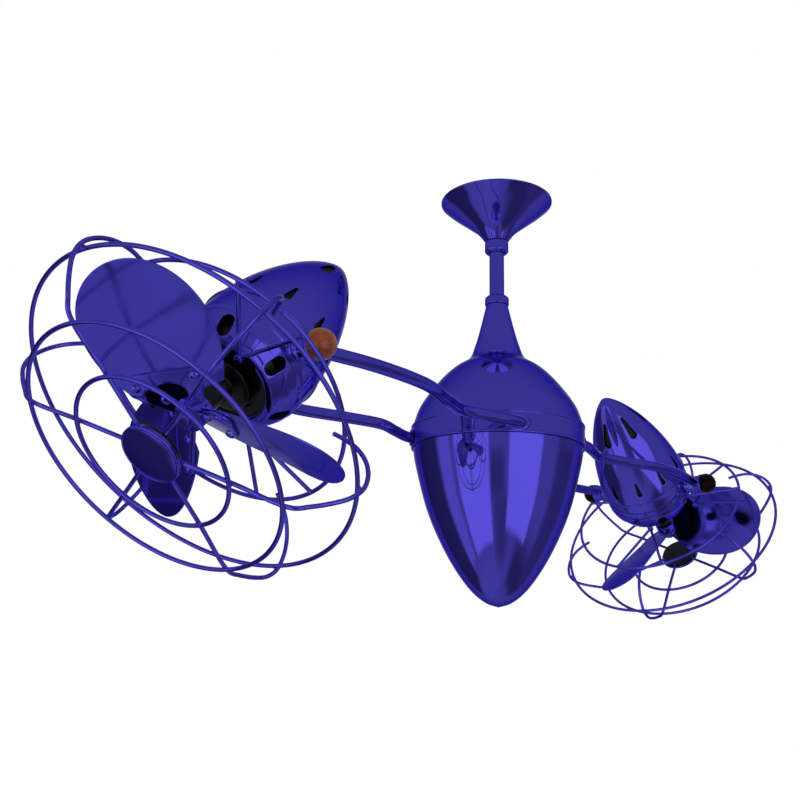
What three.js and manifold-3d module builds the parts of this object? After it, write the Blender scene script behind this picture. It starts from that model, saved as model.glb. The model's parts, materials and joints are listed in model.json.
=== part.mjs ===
// Twin head ceiling fan: a trumpet canopy and a short rod carry an acorn-shaped body that
// turns slowly about the rod. Two pairs of S-curved tube arms reach out of the body, and each
// pair holds a small caged fan head that tilts between two wooden clamp knobs.
//
// Millimetres, +Z up. The origin is the middle of the ceiling bracket's top face, and the two
// heads lie along X. The heads stand at the tilts, and the blades and guards at the turns,
// in which the fan is shown.

import * as THREE from "three";
import { mergeVertices } from "three/addons/utils/BufferGeometryUtils.js";
import Module from "manifold-3d";

const wasm = await Module();
wasm.setup();

// ---------------------------------------------------------------- driving dimensions

const GAP = 0.3; // least air between pieces that seat on each other
const RUNNING_GAP = 0.4; // air round a shaft in its bore
const SLEEVE_GAP = 0.5; // air round a bent arm in its holes

// hanging gear
const CANOPY_RADIUS = 70;
const CANOPY_DROP = 53; // ceiling to the foot of the trumpet
const CANOPY_WALL = 1.5;
const COLLAR_RADIUS = 14.8;
const CANOPY_COLLAR_HEIGHT = 16;
const ROD_RADIUS = 9.2;
const ROD_BORE = 6.5;
const BRACKET_THICKNESS = 3;
const HANGER_BALL_RADIUS = 15;
const HANGER_PIN_RADIUS = 3;

// body, all drops measured down from the ceiling
const BODY_RADIUS = 102; // shells beside the band
const BODY_WALL = 1.8;
const NECK_TOP_DROP = 126;
const NECK_COLLAR_HEIGHT = 12;
const NECK_RADIUS = 13.4;
const SHELL_RIM_DROP = 294; // lower rim of the upper shell
const BAND_HEIGHT = 26;
const BAND_PROUD = 2; // how far the band stands out of the shells
const BAND_WALL = 2.5;
const ACORN_LENGTH = 185; // lower shell, rim to tip

// arms
const ARM_DROP = 310; // ceiling to the plane of the arms and tilt axes
const REACH = 409; // middle of the body to a head's tilt axis
const ARM_TUBE_RADIUS = 6.35;
const ARM_EXIT_WIDTH = 75; // the arms leave the body this far either side of X
const ARM_PINCH_WIDTH = 57; // and close in to this
const ARM_BOW = 11; // how far their bow stands out past the middle of the cups
const EYE_RADIUS = 13.5; // clamp cup on the arm's end
const EYE_LENGTH = 18;
const GROMMET_WALL = 2.6;
const GROMMET_PROUD = 1.6;

// drive inside the body
const BEARING_HEIGHT = 11;
const GEAR_HEIGHT = 8;
const GEAR_RADIUS = 30;
const PINION_RADIUS = 10;
const PINION_SHAFT_RADIUS = 3;
const TIE_ROD_RADIUS = 3;

// clamps
const CLAMP_STANDOFF = 6; // head housing to the inner face of a cup
const STUD_RADIUS = 4;
const KNOB_RADIUS = 14;

// head housing, along the head's own axis from its tilt axis, forwards being plus
const HEAD_RADIUS = 62;
const HEAD_WALL = 1.8;
const SEAM = -19; // rear cover meets front shell
const REAR_COVER_LENGTH = 160;
const FRONT_LIP = 34;
const SHOULDER = 14; // how far the front lip lies inside the housing's side
const LIP_WIDTH = 7;
const NOSE_WALL_DEPTH = 5; // front wall set back behind the lip
const NOSE_BORE = 29.5;
const COVER_SLOTS = 10; // in each of the two rows
const NOSE_VENTS = 6;
const MOTOR_CLEARANCE = 14; // motor to the inside of the housing
const MOTOR_LENGTH = 88;
const SHAFT_RADIUS = 4;

// blades
const BLADE_COUNT = 3;
const TIP_CLEARANCE = 17.9; // blade tip to the widest ring
const BLADE_ROOT = 17; // axis to the cut root
const BLADE_WIDTH = 104;
const BLADE_PITCH = 31.3; // degrees
const BLADE_SKEW = 5.9; // degrees that the paddle leans over in its own plane
const BLADE_TWIST = -5.5; // degrees of pitch from its middle to its tip
const BLADE_PLANE = 78.8; // tilt axis to the middle of the blades
const BLADE_THICKNESS = 1.4;
const BLADE_CAMBER = 4;
const IRON_THICKNESS = 2.4;
const IRON_HUB_RADIUS = 14;

// wire guard
const WIRE_RADIUS = 2;
const GUARD_RIBS = 6;
const SPOKE_PLANE = 134.2; // the ribs' straight spokes
const BADGE_RADIUS = 28;
const SMALL_RING_RADIUS = 74;
const WIDE_RING_RADIUS = 161.5;
const LARGE_RING_INSET = 39; // widest ring to the large front ring
const WIDE_RING_PLANE = 90;
const REAR_RING_INSET = 37.8; // widest ring to the rear ring
const REAR_RING_PLANE = 42;
const STRUT_SPREAD = 16; // degrees, each leg to the middle of its pair

// how the fan is shown, in degrees
const RIGHT = {
  name: "right", turn: 0, tilt: 40.1, bladeTurn: 23.6, frameTurn: -1.5, guardTurn: -2,
};
const LEFT = {
  name: "left", turn: 180, tilt: 46.4, bladeTurn: 55.5, frameTurn: -1, guardTurn: -2.8,
};

// ---------------------------------------------------------------- finishes

const finish = (color, metalness, roughness) => new THREE.MeshStandardMaterial({
  color, metalness, roughness,
});
const mirrorBlue = () => finish(0x4a40c4, 1.0, 0.08);
const bladeBlue = () => finish(0x443ab0, 1.0, 0.14);
const turnedWood = () => finish(0x9a4318, 0.0, 0.25);
const bareSteel = () => finish(0x8d9097, 1.0, 0.35);
const blackCasting = () => finish(0x101014, 0.6, 0.45);
const gearBrass = () => finish(0xb08d4a, 1.0, 0.4);

// ---------------------------------------------------------------- helpers

const WELD = 1e-4;
const v2 = (x, y) => new THREE.Vector2(x, y);
const v3 = (x, y, z) => new THREE.Vector3(x, y, z);
const radians = THREE.MathUtils.degToRad;

// A closed three.js geometry as a solid, with its faces turned outwards.
function solid(geometry) {
  const bare = geometry.clone();
  bare.deleteAttribute("normal");
  bare.deleteAttribute("uv");
  const merged = mergeVertices(bare, WELD);
  const position = merged.attributes.position.array;
  const faces = [];
  for (let i = 0; i < merged.index.count; i += 3) {
    const [a, b, c] = [0, 1, 2].map((k) => merged.index.getX(i + k));
    if (a !== b && b !== c && c !== a) faces.push([a, b, c]);
  }
  const corner = (i) => v3(position[3 * i], position[3 * i + 1], position[3 * i + 2]);
  const volume = faces.reduce((sum, [a, b, c]) => (
    sum + corner(a).dot(corner(b).cross(corner(c)))), 0);
  const outward = volume < 0 ? faces.map(([a, b, c]) => [a, c, b]) : faces;
  const mesh = new wasm.Mesh({
    numProp: 3,
    vertProperties: Float32Array.from(position),
    triVerts: Uint32Array.from(outward.flat()),
  });
  return new wasm.Manifold(mesh);
}

function geometryOf(piece) {
  const mesh = piece.getMesh();
  const geometry = new THREE.BufferGeometry();
  const position = new THREE.BufferAttribute(Float32Array.from(mesh.vertProperties), 3);
  geometry.setAttribute("position", position);
  geometry.setIndex(Array.from(mesh.triVerts));
  geometry.computeVertexNormals();
  return geometry;
}

function part(name, piece, material) {
  const mesh = new THREE.Mesh(geometryOf(piece), material);
  mesh.name = name;
  return mesh;
}

// A closed outline of [radius, height] points turned about Z.
function turned(outline, segments) {
  const first = outline[0];
  const last = outline[outline.length - 1];
  const onAxis = first[0] === 0 && last[0] === 0;
  const loop = onAxis ? outline : [...outline, first];
  const lathe = new THREE.LatheGeometry(loop.map(([r, z]) => v2(r, z)), segments);
  return solid(lathe.rotateX(Math.PI / 2));
}

// Points of a smooth curve through [radius, height] points.
function smooth(points, steps) {
  const curve = new THREE.SplineCurve(points.map(([r, z]) => v2(r, z)));
  return curve.getPoints(steps).map((p) => [p.x, p.y]);
}

function disc(radius, bottom, top, segments = 24) {
  return turned([[0, bottom], [radius, bottom], [radius, top], [0, top]], segments);
}

function tubeRing(inner, outer, bottom, top, segments = 24) {
  return turned([[inner, bottom], [outer, bottom], [outer, top], [inner, top]], segments);
}

// A round bar along a curve.
function bar(curve, radius, sides, steps) {
  const section = new THREE.Shape();
  for (let i = 0; i < sides; i += 1) {
    const angle = (2 * Math.PI * (i + 0.5)) / sides;
    const [x, y] = [radius * Math.cos(angle), radius * Math.sin(angle)];
    if (i === 0) section.moveTo(x, y);
    else section.lineTo(x, y);
  }
  const options = { steps, bevelEnabled: false, extrudePath: curve };
  return solid(new THREE.ExtrudeGeometry(section, options));
}

const straight = (from, to, radius, sides) => (
  bar(new THREE.LineCurve3(from, to), radius, sides, 1));

function plate(shape, thickness, curveSegments = 6) {
  const options = { depth: thickness, bevelEnabled: false, curveSegments };
  return solid(new THREE.ExtrudeGeometry(shape, options));
}

const joined = (pieces) => pieces.reduce((sum, piece) => sum.add(piece));
const placed = (piece, matrix) => piece.transform(matrix.elements);
const turnZ = (piece, degrees) => piece.rotate([0, 0, degrees]);
const ringOf = (count, make) => Array.from({ length: count }, (_, i) => make((360 * i) / count));

// A cylinder of the given radius lying along Y between two places, in either order.
const pinAlongY = (radius, from, to, segments) => (
  disc(radius, Math.min(from, to), Math.max(from, to), segments).rotate([-90, 0, 0]));

// ---------------------------------------------------------------- hanging gear

const canopyCurve = [
  [CANOPY_RADIUS, -1.5],
  [0.83 * CANOPY_RADIUS, -0.23 * CANOPY_DROP],
  [0.543 * CANOPY_RADIUS, -0.53 * CANOPY_DROP],
  [0.347 * CANOPY_RADIUS, -0.75 * CANOPY_DROP],
  [COLLAR_RADIUS - 0.6, -CANOPY_DROP],
];

// Thin trumpet, turned in at its foot round the rod.
function canopy() {
  const outer = [[CANOPY_RADIUS, 0], ...smooth(canopyCurve, 5)];
  const inner = outer.map(([r, z]) => [r - CANOPY_WALL, z]).reverse();
  inner[0] = [ROD_RADIUS + RUNNING_GAP, -CANOPY_DROP];
  return turned([...outer, ...inner], 20);
}

function canopyCollar() {
  const top = -CANOPY_DROP - GAP;
  const bottom = top - CANOPY_COLLAR_HEIGHT;
  const bore = ROD_RADIUS + GAP;
  return turned([
    [bore, top], [bore, bottom + 3], [COLLAR_RADIUS - 3, bottom],
    [COLLAR_RADIUS, bottom + 2.5], [COLLAR_RADIUS, top - 2], [COLLAR_RADIUS - 0.8, top],
  ], 18);
}

const HANGER_BALL_DROP = 0.47 * CANOPY_DROP; // ceiling to the middle of the ball
const ROD_TOP = -HANGER_BALL_DROP + 0.8 * HANGER_BALL_RADIUS;

// A ceiling plate whose two legs hold the ring in which the hanger ball rests.
function ceilingBracket() {
  const seat = HANGER_BALL_RADIUS + GAP;
  const ringTop = -HANGER_BALL_DROP - 1;
  const ring = tubeRing(0.72 * HANGER_BALL_RADIUS, seat + 4, ringTop - 9, ringTop, 16);
  const socket = solid(new THREE.SphereGeometry(seat, 16, 8))
    .translate([0, 0, -HANGER_BALL_DROP]);
  const legs = [1, -1].map((side) => (
    solid(new THREE.BoxGeometry(3, 22, -ringTop + 4))
      .translate([side * (seat + 3), 0, ringTop / 2 - 2])));
  const width = 1.8 * (CANOPY_RADIUS - CANOPY_WALL);
  const across = solid(new THREE.BoxGeometry(width, 34, BRACKET_THICKNESS))
    .translate([0, 0, -BRACKET_THICKNESS / 2]);
  return joined([across, ring, ...legs]).subtract(socket);
}

// The ball and the cross pin that stops the rod turning in it.
function hangerBall() {
  const ball = solid(new THREE.SphereGeometry(HANGER_BALL_RADIUS, 16, 8));
  const bore = disc(ROD_RADIUS + GAP, -2 * HANGER_BALL_RADIUS, 2 * HANGER_BALL_RADIUS, 16);
  const pin = pinAlongY(HANGER_PIN_RADIUS, 2 - HANGER_BALL_RADIUS, HANGER_BALL_RADIUS - 2, 6);
  return ball.subtract(bore).add(pin).translate([0, 0, -HANGER_BALL_DROP]);
}

const CARRIER_TOP = -ARM_DROP + 12;
const CARRIER_BOTTOM = -ARM_DROP - 9;
const GEAR_BOTTOM = CARRIER_TOP + BEARING_HEIGHT + GAP;
const ROD_FOOT = CARRIER_BOTTOM - 11;
const DRIVE_OFFSET = GEAR_RADIUS + PINION_RADIUS + GAP;
const WASHER_RADIUS = ROD_RADIUS + GAP + 8;

function downrod() {
  const tube = tubeRing(ROD_BORE, ROD_RADIUS, ROD_FOOT, ROD_TOP, 16);
  const pinHole = pinAlongY(HANGER_PIN_RADIUS + GAP, -2 * ROD_RADIUS, 2 * ROD_RADIUS, 6)
    .translate([0, 0, -HANGER_BALL_DROP]);
  return tube.subtract(pinHole);
}

// The gear keyed to the rod, which the turning body's pinion walks round.
function fixedGear() {
  return tubeRing(ROD_RADIUS + GAP, GEAR_RADIUS, GEAR_BOTTOM, GEAR_BOTTOM + GEAR_HEIGHT, 20);
}

// A hexagon nut and its washer on the rod's foot, which carry the turning body.
function rodNut() {
  const top = CARRIER_BOTTOM - GAP;
  const bore = ROD_RADIUS + GAP;
  const washer = disc(WASHER_RADIUS, top - 2, top, 16);
  const nut = disc(bore + 5.5, top - 9, top - 2, 6);
  return washer.add(nut).subtract(disc(bore, top - 10, top + 1, 16));
}

// ---------------------------------------------------------------- turning body

const NECK_FOOT = -NECK_TOP_DROP - NECK_COLLAR_HEIGHT;
const BAND_TOP = -SHELL_RIM_DROP - GAP;
const BAND_BOTTOM = BAND_TOP - BAND_HEIGHT;
const BAND_RADIUS = BODY_RADIUS + BAND_PROUD;
const ACORN_RIM = BAND_BOTTOM - GAP;
const CARRIER_RADIUS = BAND_RADIUS - BAND_WALL - GAP;
const BAND_SEGMENTS = 36;

function neckCollar() {
  const bore = ROD_RADIUS + RUNNING_GAP;
  const top = -NECK_TOP_DROP;
  return turned([
    [bore, top], [bore, NECK_FOOT], [COLLAR_RADIUS, NECK_FOOT],
    [COLLAR_RADIUS, top - 3], [COLLAR_RADIUS - 3, top],
  ], 18);
}

// Long neck flaring into a round-shouldered dome. Heights are shares of the shell's own height.
function upperShell() {
  const top = NECK_FOOT - GAP;
  const height = SHELL_RIM_DROP + top;
  const bore = ROD_RADIUS + RUNNING_GAP;
  const at = (radius, share) => [radius, top - share * height];
  const outer = smooth([
    at(NECK_RADIUS, 0), at(NECK_RADIUS + 7.5, 0.2), at(NECK_RADIUS + 13.5, 0.335),
    at(0.34 * BODY_RADIUS, 0.45), at(0.535 * BODY_RADIUS, 0.54), at(0.715 * BODY_RADIUS, 0.66),
    at(0.915 * BODY_RADIUS, 0.845), at(BODY_RADIUS, 1),
  ], 10);
  const inner = [
    at(BODY_RADIUS - BODY_WALL, 1), at(0.87 * BODY_RADIUS, 0.87), at(0.66 * BODY_RADIUS, 0.7),
    at(0.42 * BODY_RADIUS, 0.56), at(bore, 0.3), at(bore, 0),
  ];
  return turned([...outer, ...inner], 26);
}

function band() {
  const inner = BAND_RADIUS - BAND_WALL;
  const ring = tubeRing(inner, BAND_RADIUS, BAND_BOTTOM, BAND_TOP, BAND_SEGMENTS);
  return cutByArms(ring);
}

// The pointed lower shell, closed at its tip but for the tie rod's hole.
function acornShell() {
  const at = (radius, share) => [radius, ACORN_RIM - share * ACORN_LENGTH];
  const outer = smooth([
    at(BODY_RADIUS - 0.5, 0), at(0.958 * BODY_RADIUS, 0.12), at(0.835 * BODY_RADIUS, 0.378),
    at(0.683 * BODY_RADIUS, 0.582), at(0.505 * BODY_RADIUS, 0.76),
    at(0.322 * BODY_RADIUS, 0.895), at(0.15 * BODY_RADIUS, 0.973), at(0, 1),
  ], 10);
  const bore = TIE_ROD_RADIUS + GAP;
  const inner = [
    at(0, 0.965), at(bore, 0.965), at(bore, 0.93), at(0.46 * BODY_RADIUS, 0.76),
    at(0.73 * BODY_RADIUS, 0.47), at(0.89 * BODY_RADIUS, 0.2),
    at(BODY_RADIUS - 0.5 - BODY_WALL, 0),
  ];
  return turned([...inner, ...outer], 24);
}

// The rod that draws the acorn shell up against the band, with its hanging plate.
function tieRod() {
  const top = CARRIER_BOTTOM - GAP;
  const bridgeDrop = ROD_FOOT - 8;
  const bridge = solid(new THREE.BoxGeometry(76, 16, 3)).translate([0, 0, bridgeDrop]);
  const legs = [1, -1].map((side) => (
    solid(new THREE.BoxGeometry(3, 16, top - bridgeDrop + 1.5))
      .translate([side * 36.5, 0, (top + bridgeDrop - 1.5) / 2])));
  const foot = ACORN_RIM - 0.955 * ACORN_LENGTH;
  return joined([disc(TIE_ROD_RADIUS, foot, bridgeDrop, 8), bridge, ...legs]);
}

// The cast plate that the arms are clamped in, hung on the rod's bearing.
function armCarrier() {
  const web = tubeRing(ROD_RADIUS + RUNNING_GAP, 26, CARRIER_BOTTOM, CARRIER_TOP, 16);
  const floor = disc(CARRIER_RADIUS, CARRIER_BOTTOM, CARRIER_BOTTOM + 3, BAND_SEGMENTS)
    .subtract(disc(20, CARRIER_BOTTOM - 1, CARRIER_TOP, 16));
  const height = CARRIER_TOP - CARRIER_BOTTOM;
  const blocks = armSides().map(({ turn, side }) => turnZ(
    solid(new THREE.BoxGeometry(34, 20, height))
      .translate([ARM_EXIT - 28, side * (ARM_EXIT_WIDTH - 1), CARRIER_BOTTOM + height / 2]),
    turn));
  const outline = disc(CARRIER_RADIUS, CARRIER_BOTTOM, CARRIER_TOP, BAND_SEGMENTS);
  const cast = joined([floor, ...blocks]).intersect(outline).add(web);
  const shaftHole = disc(PINION_SHAFT_RADIUS + RUNNING_GAP, CARRIER_BOTTOM - 1, CARRIER_TOP, 8)
    .translate([0, -DRIVE_OFFSET, 0]);
  return cutByArms(cast).subtract(shaftHole);
}

// Ball bearing between the rod and the carrier's hub.
function mainBearing() {
  const bottom = CARRIER_TOP + GAP;
  return tubeRing(ROD_RADIUS + GAP, 19, bottom, bottom + BEARING_HEIGHT - GAP, 16);
}

// Slow geared motor hung under the carrier.
function driveMotor() {
  const top = CARRIER_BOTTOM - GAP;
  const can = DRIVE_OFFSET - WASHER_RADIUS - 0.8; // clears the rod's washer
  const profile = [[0, top], [can, top], [can, top - 34], [14, top - 36], [14, top - 42],
    [0, top - 42]];
  return turned(profile, 16).translate([0, -DRIVE_OFFSET, 0]);
}

// Pinion and its shaft, which passes down through the carrier.
function drivePinion() {
  const top = GEAR_BOTTOM + GEAR_HEIGHT;
  const profile = [[0, top], [PINION_RADIUS, top], [PINION_RADIUS, GEAR_BOTTOM],
    [PINION_SHAFT_RADIUS, GEAR_BOTTOM], [PINION_SHAFT_RADIUS, CARRIER_BOTTOM],
    [0, CARRIER_BOTTOM]];
  return turned(profile, 16).translate([0, -DRIVE_OFFSET, 0]);
}

// ---------------------------------------------------------------- arms

const ARM_EXIT = Math.sqrt(BAND_RADIUS ** 2 - ARM_EXIT_WIDTH ** 2);
const CLAMP_FACE = HEAD_RADIUS + CLAMP_STANDOFF; // inner face of a cup, from the head's middle
const CUP_MIDDLE = CLAMP_FACE + EYE_LENGTH / 2;

// Each arm leaves the body along X, pinches in, bows out round the head and ends in its cup.
function armTube(radius, side, sides, inset = 0) {
  const bow = CUP_MIDDLE + ARM_BOW;
  const points = [
    [ARM_EXIT - 36 - inset, ARM_EXIT_WIDTH], [ARM_EXIT - 12, ARM_EXIT_WIDTH],
    [ARM_EXIT + 14, ARM_EXIT_WIDTH - 1.3], [0.28 * REACH, ARM_EXIT_WIDTH - 9],
    [0.367 * REACH, ARM_PINCH_WIDTH], [0.475 * REACH, ARM_PINCH_WIDTH + 10.5],
    [0.62 * REACH, bow - 2], [0.81 * REACH, bow], [REACH - EYE_RADIUS + 1, CUP_MIDDLE + 1],
  ];
  const way = points.map(([x, y]) => v3(x, side * y, -ARM_DROP));
  return bar(new THREE.CatmullRomCurve3(way), radius, sides, 15);
}

function arm(side) {
  const [inner, outer] = [side * CLAMP_FACE, side * (CLAMP_FACE + EYE_LENGTH)];
  const cup = pinAlongY(EYE_RADIUS, inner, outer, 14);
  const bore = pinAlongY(STUD_RADIUS + GAP, inner - side, outer + side, 8);
  const eye = (piece) => piece.translate([REACH, 0, -ARM_DROP]);
  return armTube(ARM_TUBE_RADIUS, side, 6).add(eye(cup)).subtract(eye(bore));
}

// The four arms: each head has one on either side of it.
function armSides() {
  return [RIGHT, LEFT].flatMap(({ turn }) => [1, -1].map((side) => ({ turn, side })));
}

const armHole = (side) => armTube(ARM_TUBE_RADIUS + SLEEVE_GAP, side, 6, 4);
const cutByArms = (piece) => armSides().reduce((rest, { turn, side }) => (
  rest.subtract(turnZ(armHole(side), turn))), piece);

// Oval collar where an arm passes through the band.
function grommet(side) {
  const inner = BAND_RADIUS + GAP;
  const outer = inner + GROMMET_PROUD;
  const sleeve = tubeRing(inner, outer, BAND_BOTTOM, BAND_TOP, BAND_SEGMENTS);
  const outline = armTube(ARM_TUBE_RADIUS + SLEEVE_GAP + GROMMET_WALL, side, 8);
  const eastHalf = solid(new THREE.BoxGeometry(2 * BAND_RADIUS, 4 * BAND_RADIUS, 4 * BAND_RADIUS))
    .translate([BAND_RADIUS + ARM_EXIT / 3, 0, -ARM_DROP]);
  return sleeve.intersect(outline).intersect(eastHalf).subtract(armHole(side));
}

// ---------------------------------------------------------------- head housing

const LIP_RADIUS = HEAD_RADIUS - SHOULDER;
const NOSE_WALL_FRONT = FRONT_LIP - NOSE_WALL_DEPTH;
const NOSE_WALL_BACK = NOSE_WALL_FRONT - 2;
const STUD_SEAT = HEAD_RADIUS - 5; // inner ends of the pivot bosses

const coverRadius = (share) => HEAD_RADIUS * (1 - share ** 1.65) ** (1 / 1.2);
const coverPoint = (share) => [coverRadius(share), SEAM - share * REAR_COVER_LENGTH];

// A row of teardrop slots round the rear cover, narrow ends towards its point.
function slotRow(share, length, width) {
  const [wide, narrow] = [width / 2, width / 5];
  const drop = new THREE.Shape();
  drop.absarc(0, wide - length / 2, wide, Math.PI, 2 * Math.PI, false);
  drop.lineTo(narrow, length / 2);
  drop.lineTo(-narrow, length / 2);
  const fall = coverRadius(share - 0.04) - coverRadius(share + 0.04);
  const lean = Math.atan2(fall, 0.08 * REAR_COVER_LENGTH);
  const [r, z] = coverPoint(share);
  const cutter = plate(drop, 24, 2)
    .translate([0, 0, -12])
    .rotate([-90, 0, -90])
    .rotate([0, THREE.MathUtils.radToDeg(lean), 0])
    .translate([r, 0, z]);
  return ringOf(COVER_SLOTS, (angle) => turnZ(cutter, angle + 180 / COVER_SLOTS));
}

// Pointed bell that closes the back of a head, with a bead round its rim.
function rearCover() {
  const rim = [
    [HEAD_RADIUS - HEAD_WALL, SEAM], [HEAD_RADIUS + 1.5, SEAM], [HEAD_RADIUS + 1.5, SEAM - 3],
  ];
  const outer = [0.04, 0.09, 0.25, 0.44, 0.62, 0.82, 0.94].map(coverPoint);
  const inner = [0.82, 0.62, 0.25].map(coverPoint).map(([r, z]) => [r - HEAD_WALL, z + 0.8]);
  const point = [0, SEAM - REAR_COVER_LENGTH];
  const roof = [0, SEAM - 0.93 * REAR_COVER_LENGTH];
  const shell = turned([...rim, ...outer, point], 2 * COVER_SLOTS);
  const hollow = turned([[0, SEAM + 1], [rim[0][0], SEAM + 1], ...inner.reverse(), roof],
    2 * COVER_SLOTS);
  const cutters = [...slotRow(0.165, 23, 7), ...slotRow(0.72, 28, 9)];
  const facet = 90 / COVER_SLOTS;
  return cutters.reduce((rest, cutter) => rest.subtract(cutter),
    turnZ(shell.subtract(hollow), facet));
}

// Front shell: a straight wall, a vented shoulder and a rolled lip round a set-back nose wall.
function frontShell() {
  const back = SEAM + GAP;
  const shell = turned([
    [HEAD_RADIUS, back], [HEAD_RADIUS, 5], [HEAD_RADIUS - 1.4, 6.5],
    [HEAD_RADIUS - 1.6, 12], [HEAD_RADIUS - 4.8, 20], [LIP_RADIUS, FRONT_LIP],
    [LIP_RADIUS - LIP_WIDTH, FRONT_LIP], [LIP_RADIUS - LIP_WIDTH, NOSE_WALL_FRONT],
    [NOSE_BORE, NOSE_WALL_FRONT], [NOSE_BORE, NOSE_WALL_BACK],
    [LIP_RADIUS - 1, NOSE_WALL_BACK], [HEAD_RADIUS - HEAD_WALL - 2, 12],
    [HEAD_RADIUS - HEAD_WALL, back],
  ], 4 * NOSE_VENTS);
  const facet = 45 / NOSE_VENTS;
  const bosses = [1, -1].map((side) => (
    pinAlongY(9, side * STUD_SEAT, side * (CLAMP_FACE - GAP), 10)));
  const bore = pinAlongY(STUD_RADIUS + GAP, -CLAMP_FACE - 1, CLAMP_FACE + 1, 8);
  const half = 6.5;
  const opening = new THREE.Shape();
  opening.absarc(0, 4, half, 0, Math.PI, false);
  opening.absarc(0, -4, half, Math.PI, 2 * Math.PI, false);
  const slope = THREE.MathUtils.radToDeg(Math.atan2(SHOULDER - 2, FRONT_LIP - 13));
  const vent = plate(opening, 20, 1)
    .translate([0, 0, -10])
    .rotate([90, 0, 90])
    .rotate([0, -slope, 0])
    .translate([HEAD_RADIUS - SHOULDER / 2, 0, (13 + FRONT_LIP) / 2]);
  const vents = ringOf(NOSE_VENTS, (angle) => turnZ(vent, angle + 180 / NOSE_VENTS));
  return [...vents, bore].reduce((rest, cutter) => rest.subtract(cutter),
    joined([turnZ(shell, facet), ...bosses]));
}

// Threaded stud whose flange bears on the boss inside the shell, along Y.
function pivotStud(side) {
  const flange = STUD_SEAT - GAP;
  return pinAlongY(7, side * (flange - 4), side * flange, 8)
    .add(pinAlongY(STUD_RADIUS, side * (flange - 1), side * (CLAMP_FACE + EYE_LENGTH + 9), 8));
}

// Turned wooden ball, bored for the stud and faced where it bears on the cup.
function clampKnob(side) {
  const face = CLAMP_FACE + EYE_LENGTH + GAP;
  const ball = solid(new THREE.SphereGeometry(KNOB_RADIUS, 12, 8))
    .rotate([90, 0, 0]).translate([0, side * (face + KNOB_RADIUS / 3), 0]);
  const faced = ball.subtract(pinAlongY(40, side * (face - 40), side * face, 12));
  return faced.subtract(pinAlongY(STUD_RADIUS + GAP, side * (face - 1), side * (face + 9.5), 8));
}

// Motor bolted to the back of the nose wall.
function headMotor() {
  const front = NOSE_WALL_BACK - GAP;
  const radius = HEAD_RADIUS - HEAD_WALL - MOTOR_CLEARANCE;
  const bore = SHAFT_RADIUS + RUNNING_GAP;
  return turned([
    [bore, front], [radius - 8, front], [radius, front - 10],
    [radius, front - MOTOR_LENGTH + 12], [radius - 10, front - MOTOR_LENGTH],
    [bore, front - MOTOR_LENGTH],
  ], 16);
}

// ---------------------------------------------------------------- spinning parts

const BLADE_SWEEP = WIDE_RING_RADIUS - TIP_CLEARANCE;
const IRON_HUB_BOTTOM = BLADE_PLANE - 9;

// Shaft, wide back disc and the tapered boss that carries the irons.
function rotorHub() {
  const rear = NOSE_WALL_BACK - MOTOR_LENGTH + 8;
  const disk = NOSE_BORE - 2.5;
  const front = IRON_HUB_BOTTOM - GAP;
  return turned([
    [0, rear], [SHAFT_RADIUS, rear], [SHAFT_RADIUS, NOSE_WALL_FRONT + 1],
    [disk, NOSE_WALL_FRONT + 1], [disk, FRONT_LIP + 4],
    [13, FRONT_LIP + 6], [10, front], [0, front],
  ], 16);
}

// Places a blade's own frame: x out along the blade, y across it, z off its front face.
function bladeFrame(angle) {
  return new THREE.Matrix4().makeRotationZ(radians(angle))
    .multiply(new THREE.Matrix4().makeTranslation(0, 0, BLADE_PLANE))
    .multiply(new THREE.Matrix4().makeRotationX(radians(BLADE_PITCH)));
}

// Wide egg-shaped paddle, flat where the iron sits, dished and twisted towards its tip, with
// its root cut square.
function blade(angle) {
  const half = (BLADE_SWEEP + 6) / 2;
  const grid = new THREE.BoxGeometry(2, 2, 1, 6, 4, 1);
  const position = grid.attributes.position;
  const skew = radians(BLADE_SKEW);
  for (let i = 0; i < position.count; i += 1) {
    const [u, v, face] = [position.getX(i), position.getY(i), position.getZ(i)];
    const out = u * Math.sqrt(1 - (v * v) / 2);
    const across = v * Math.sqrt(1 - (u * u) / 2);
    const along = half * out;
    const width = (BLADE_WIDTH / 2) * across * (1 + 0.18 * out);
    const x = BLADE_SWEEP - half + along * Math.cos(skew) - width * Math.sin(skew);
    const y = along * Math.sin(skew) + width * Math.cos(skew);
    const outer = Math.max(out + 0.2, 0) / 1.2; // from the iron's end to the tip
    const crown = BLADE_CAMBER * outer * (across * across - 0.3);
    const lift = crown + y * Math.tan(radians(BLADE_TWIST) * outer);
    position.setXYZ(i, x, y, lift + face * BLADE_THICKNESS);
  }
  const root = solid(new THREE.BoxGeometry(60, 200, 60)).translate([BLADE_ROOT - 30, 0, 0]);
  return placed(solid(grid).subtract(root), bladeFrame(angle));
}

// Hub ring with three pitched triangular irons, one screwed to the front of each blade.
function bladeIrons(turn) {
  const outline = [[2, -10], [30, -25], [37, -22], [51, 34], [45, 41], [34, 41], [4, 12]];
  const shape = new THREE.Shape(outline.map(([x, y]) => v2(x, y)));
  const iron = plate(shape, IRON_THICKNESS).translate([0, 0, BLADE_THICKNESS / 2 + GAP]);
  const irons = ringOf(BLADE_COUNT, (angle) => placed(iron, bladeFrame(angle + turn)));
  const ring = disc(IRON_HUB_RADIUS, IRON_HUB_BOTTOM, BLADE_PLANE + 10, 16);
  const nose = disc(8, BLADE_PLANE + 10, BLADE_PLANE + 18, 6);
  return joined([ring, nose, ...irons]);
}

// ---------------------------------------------------------------- wire guard

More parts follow.
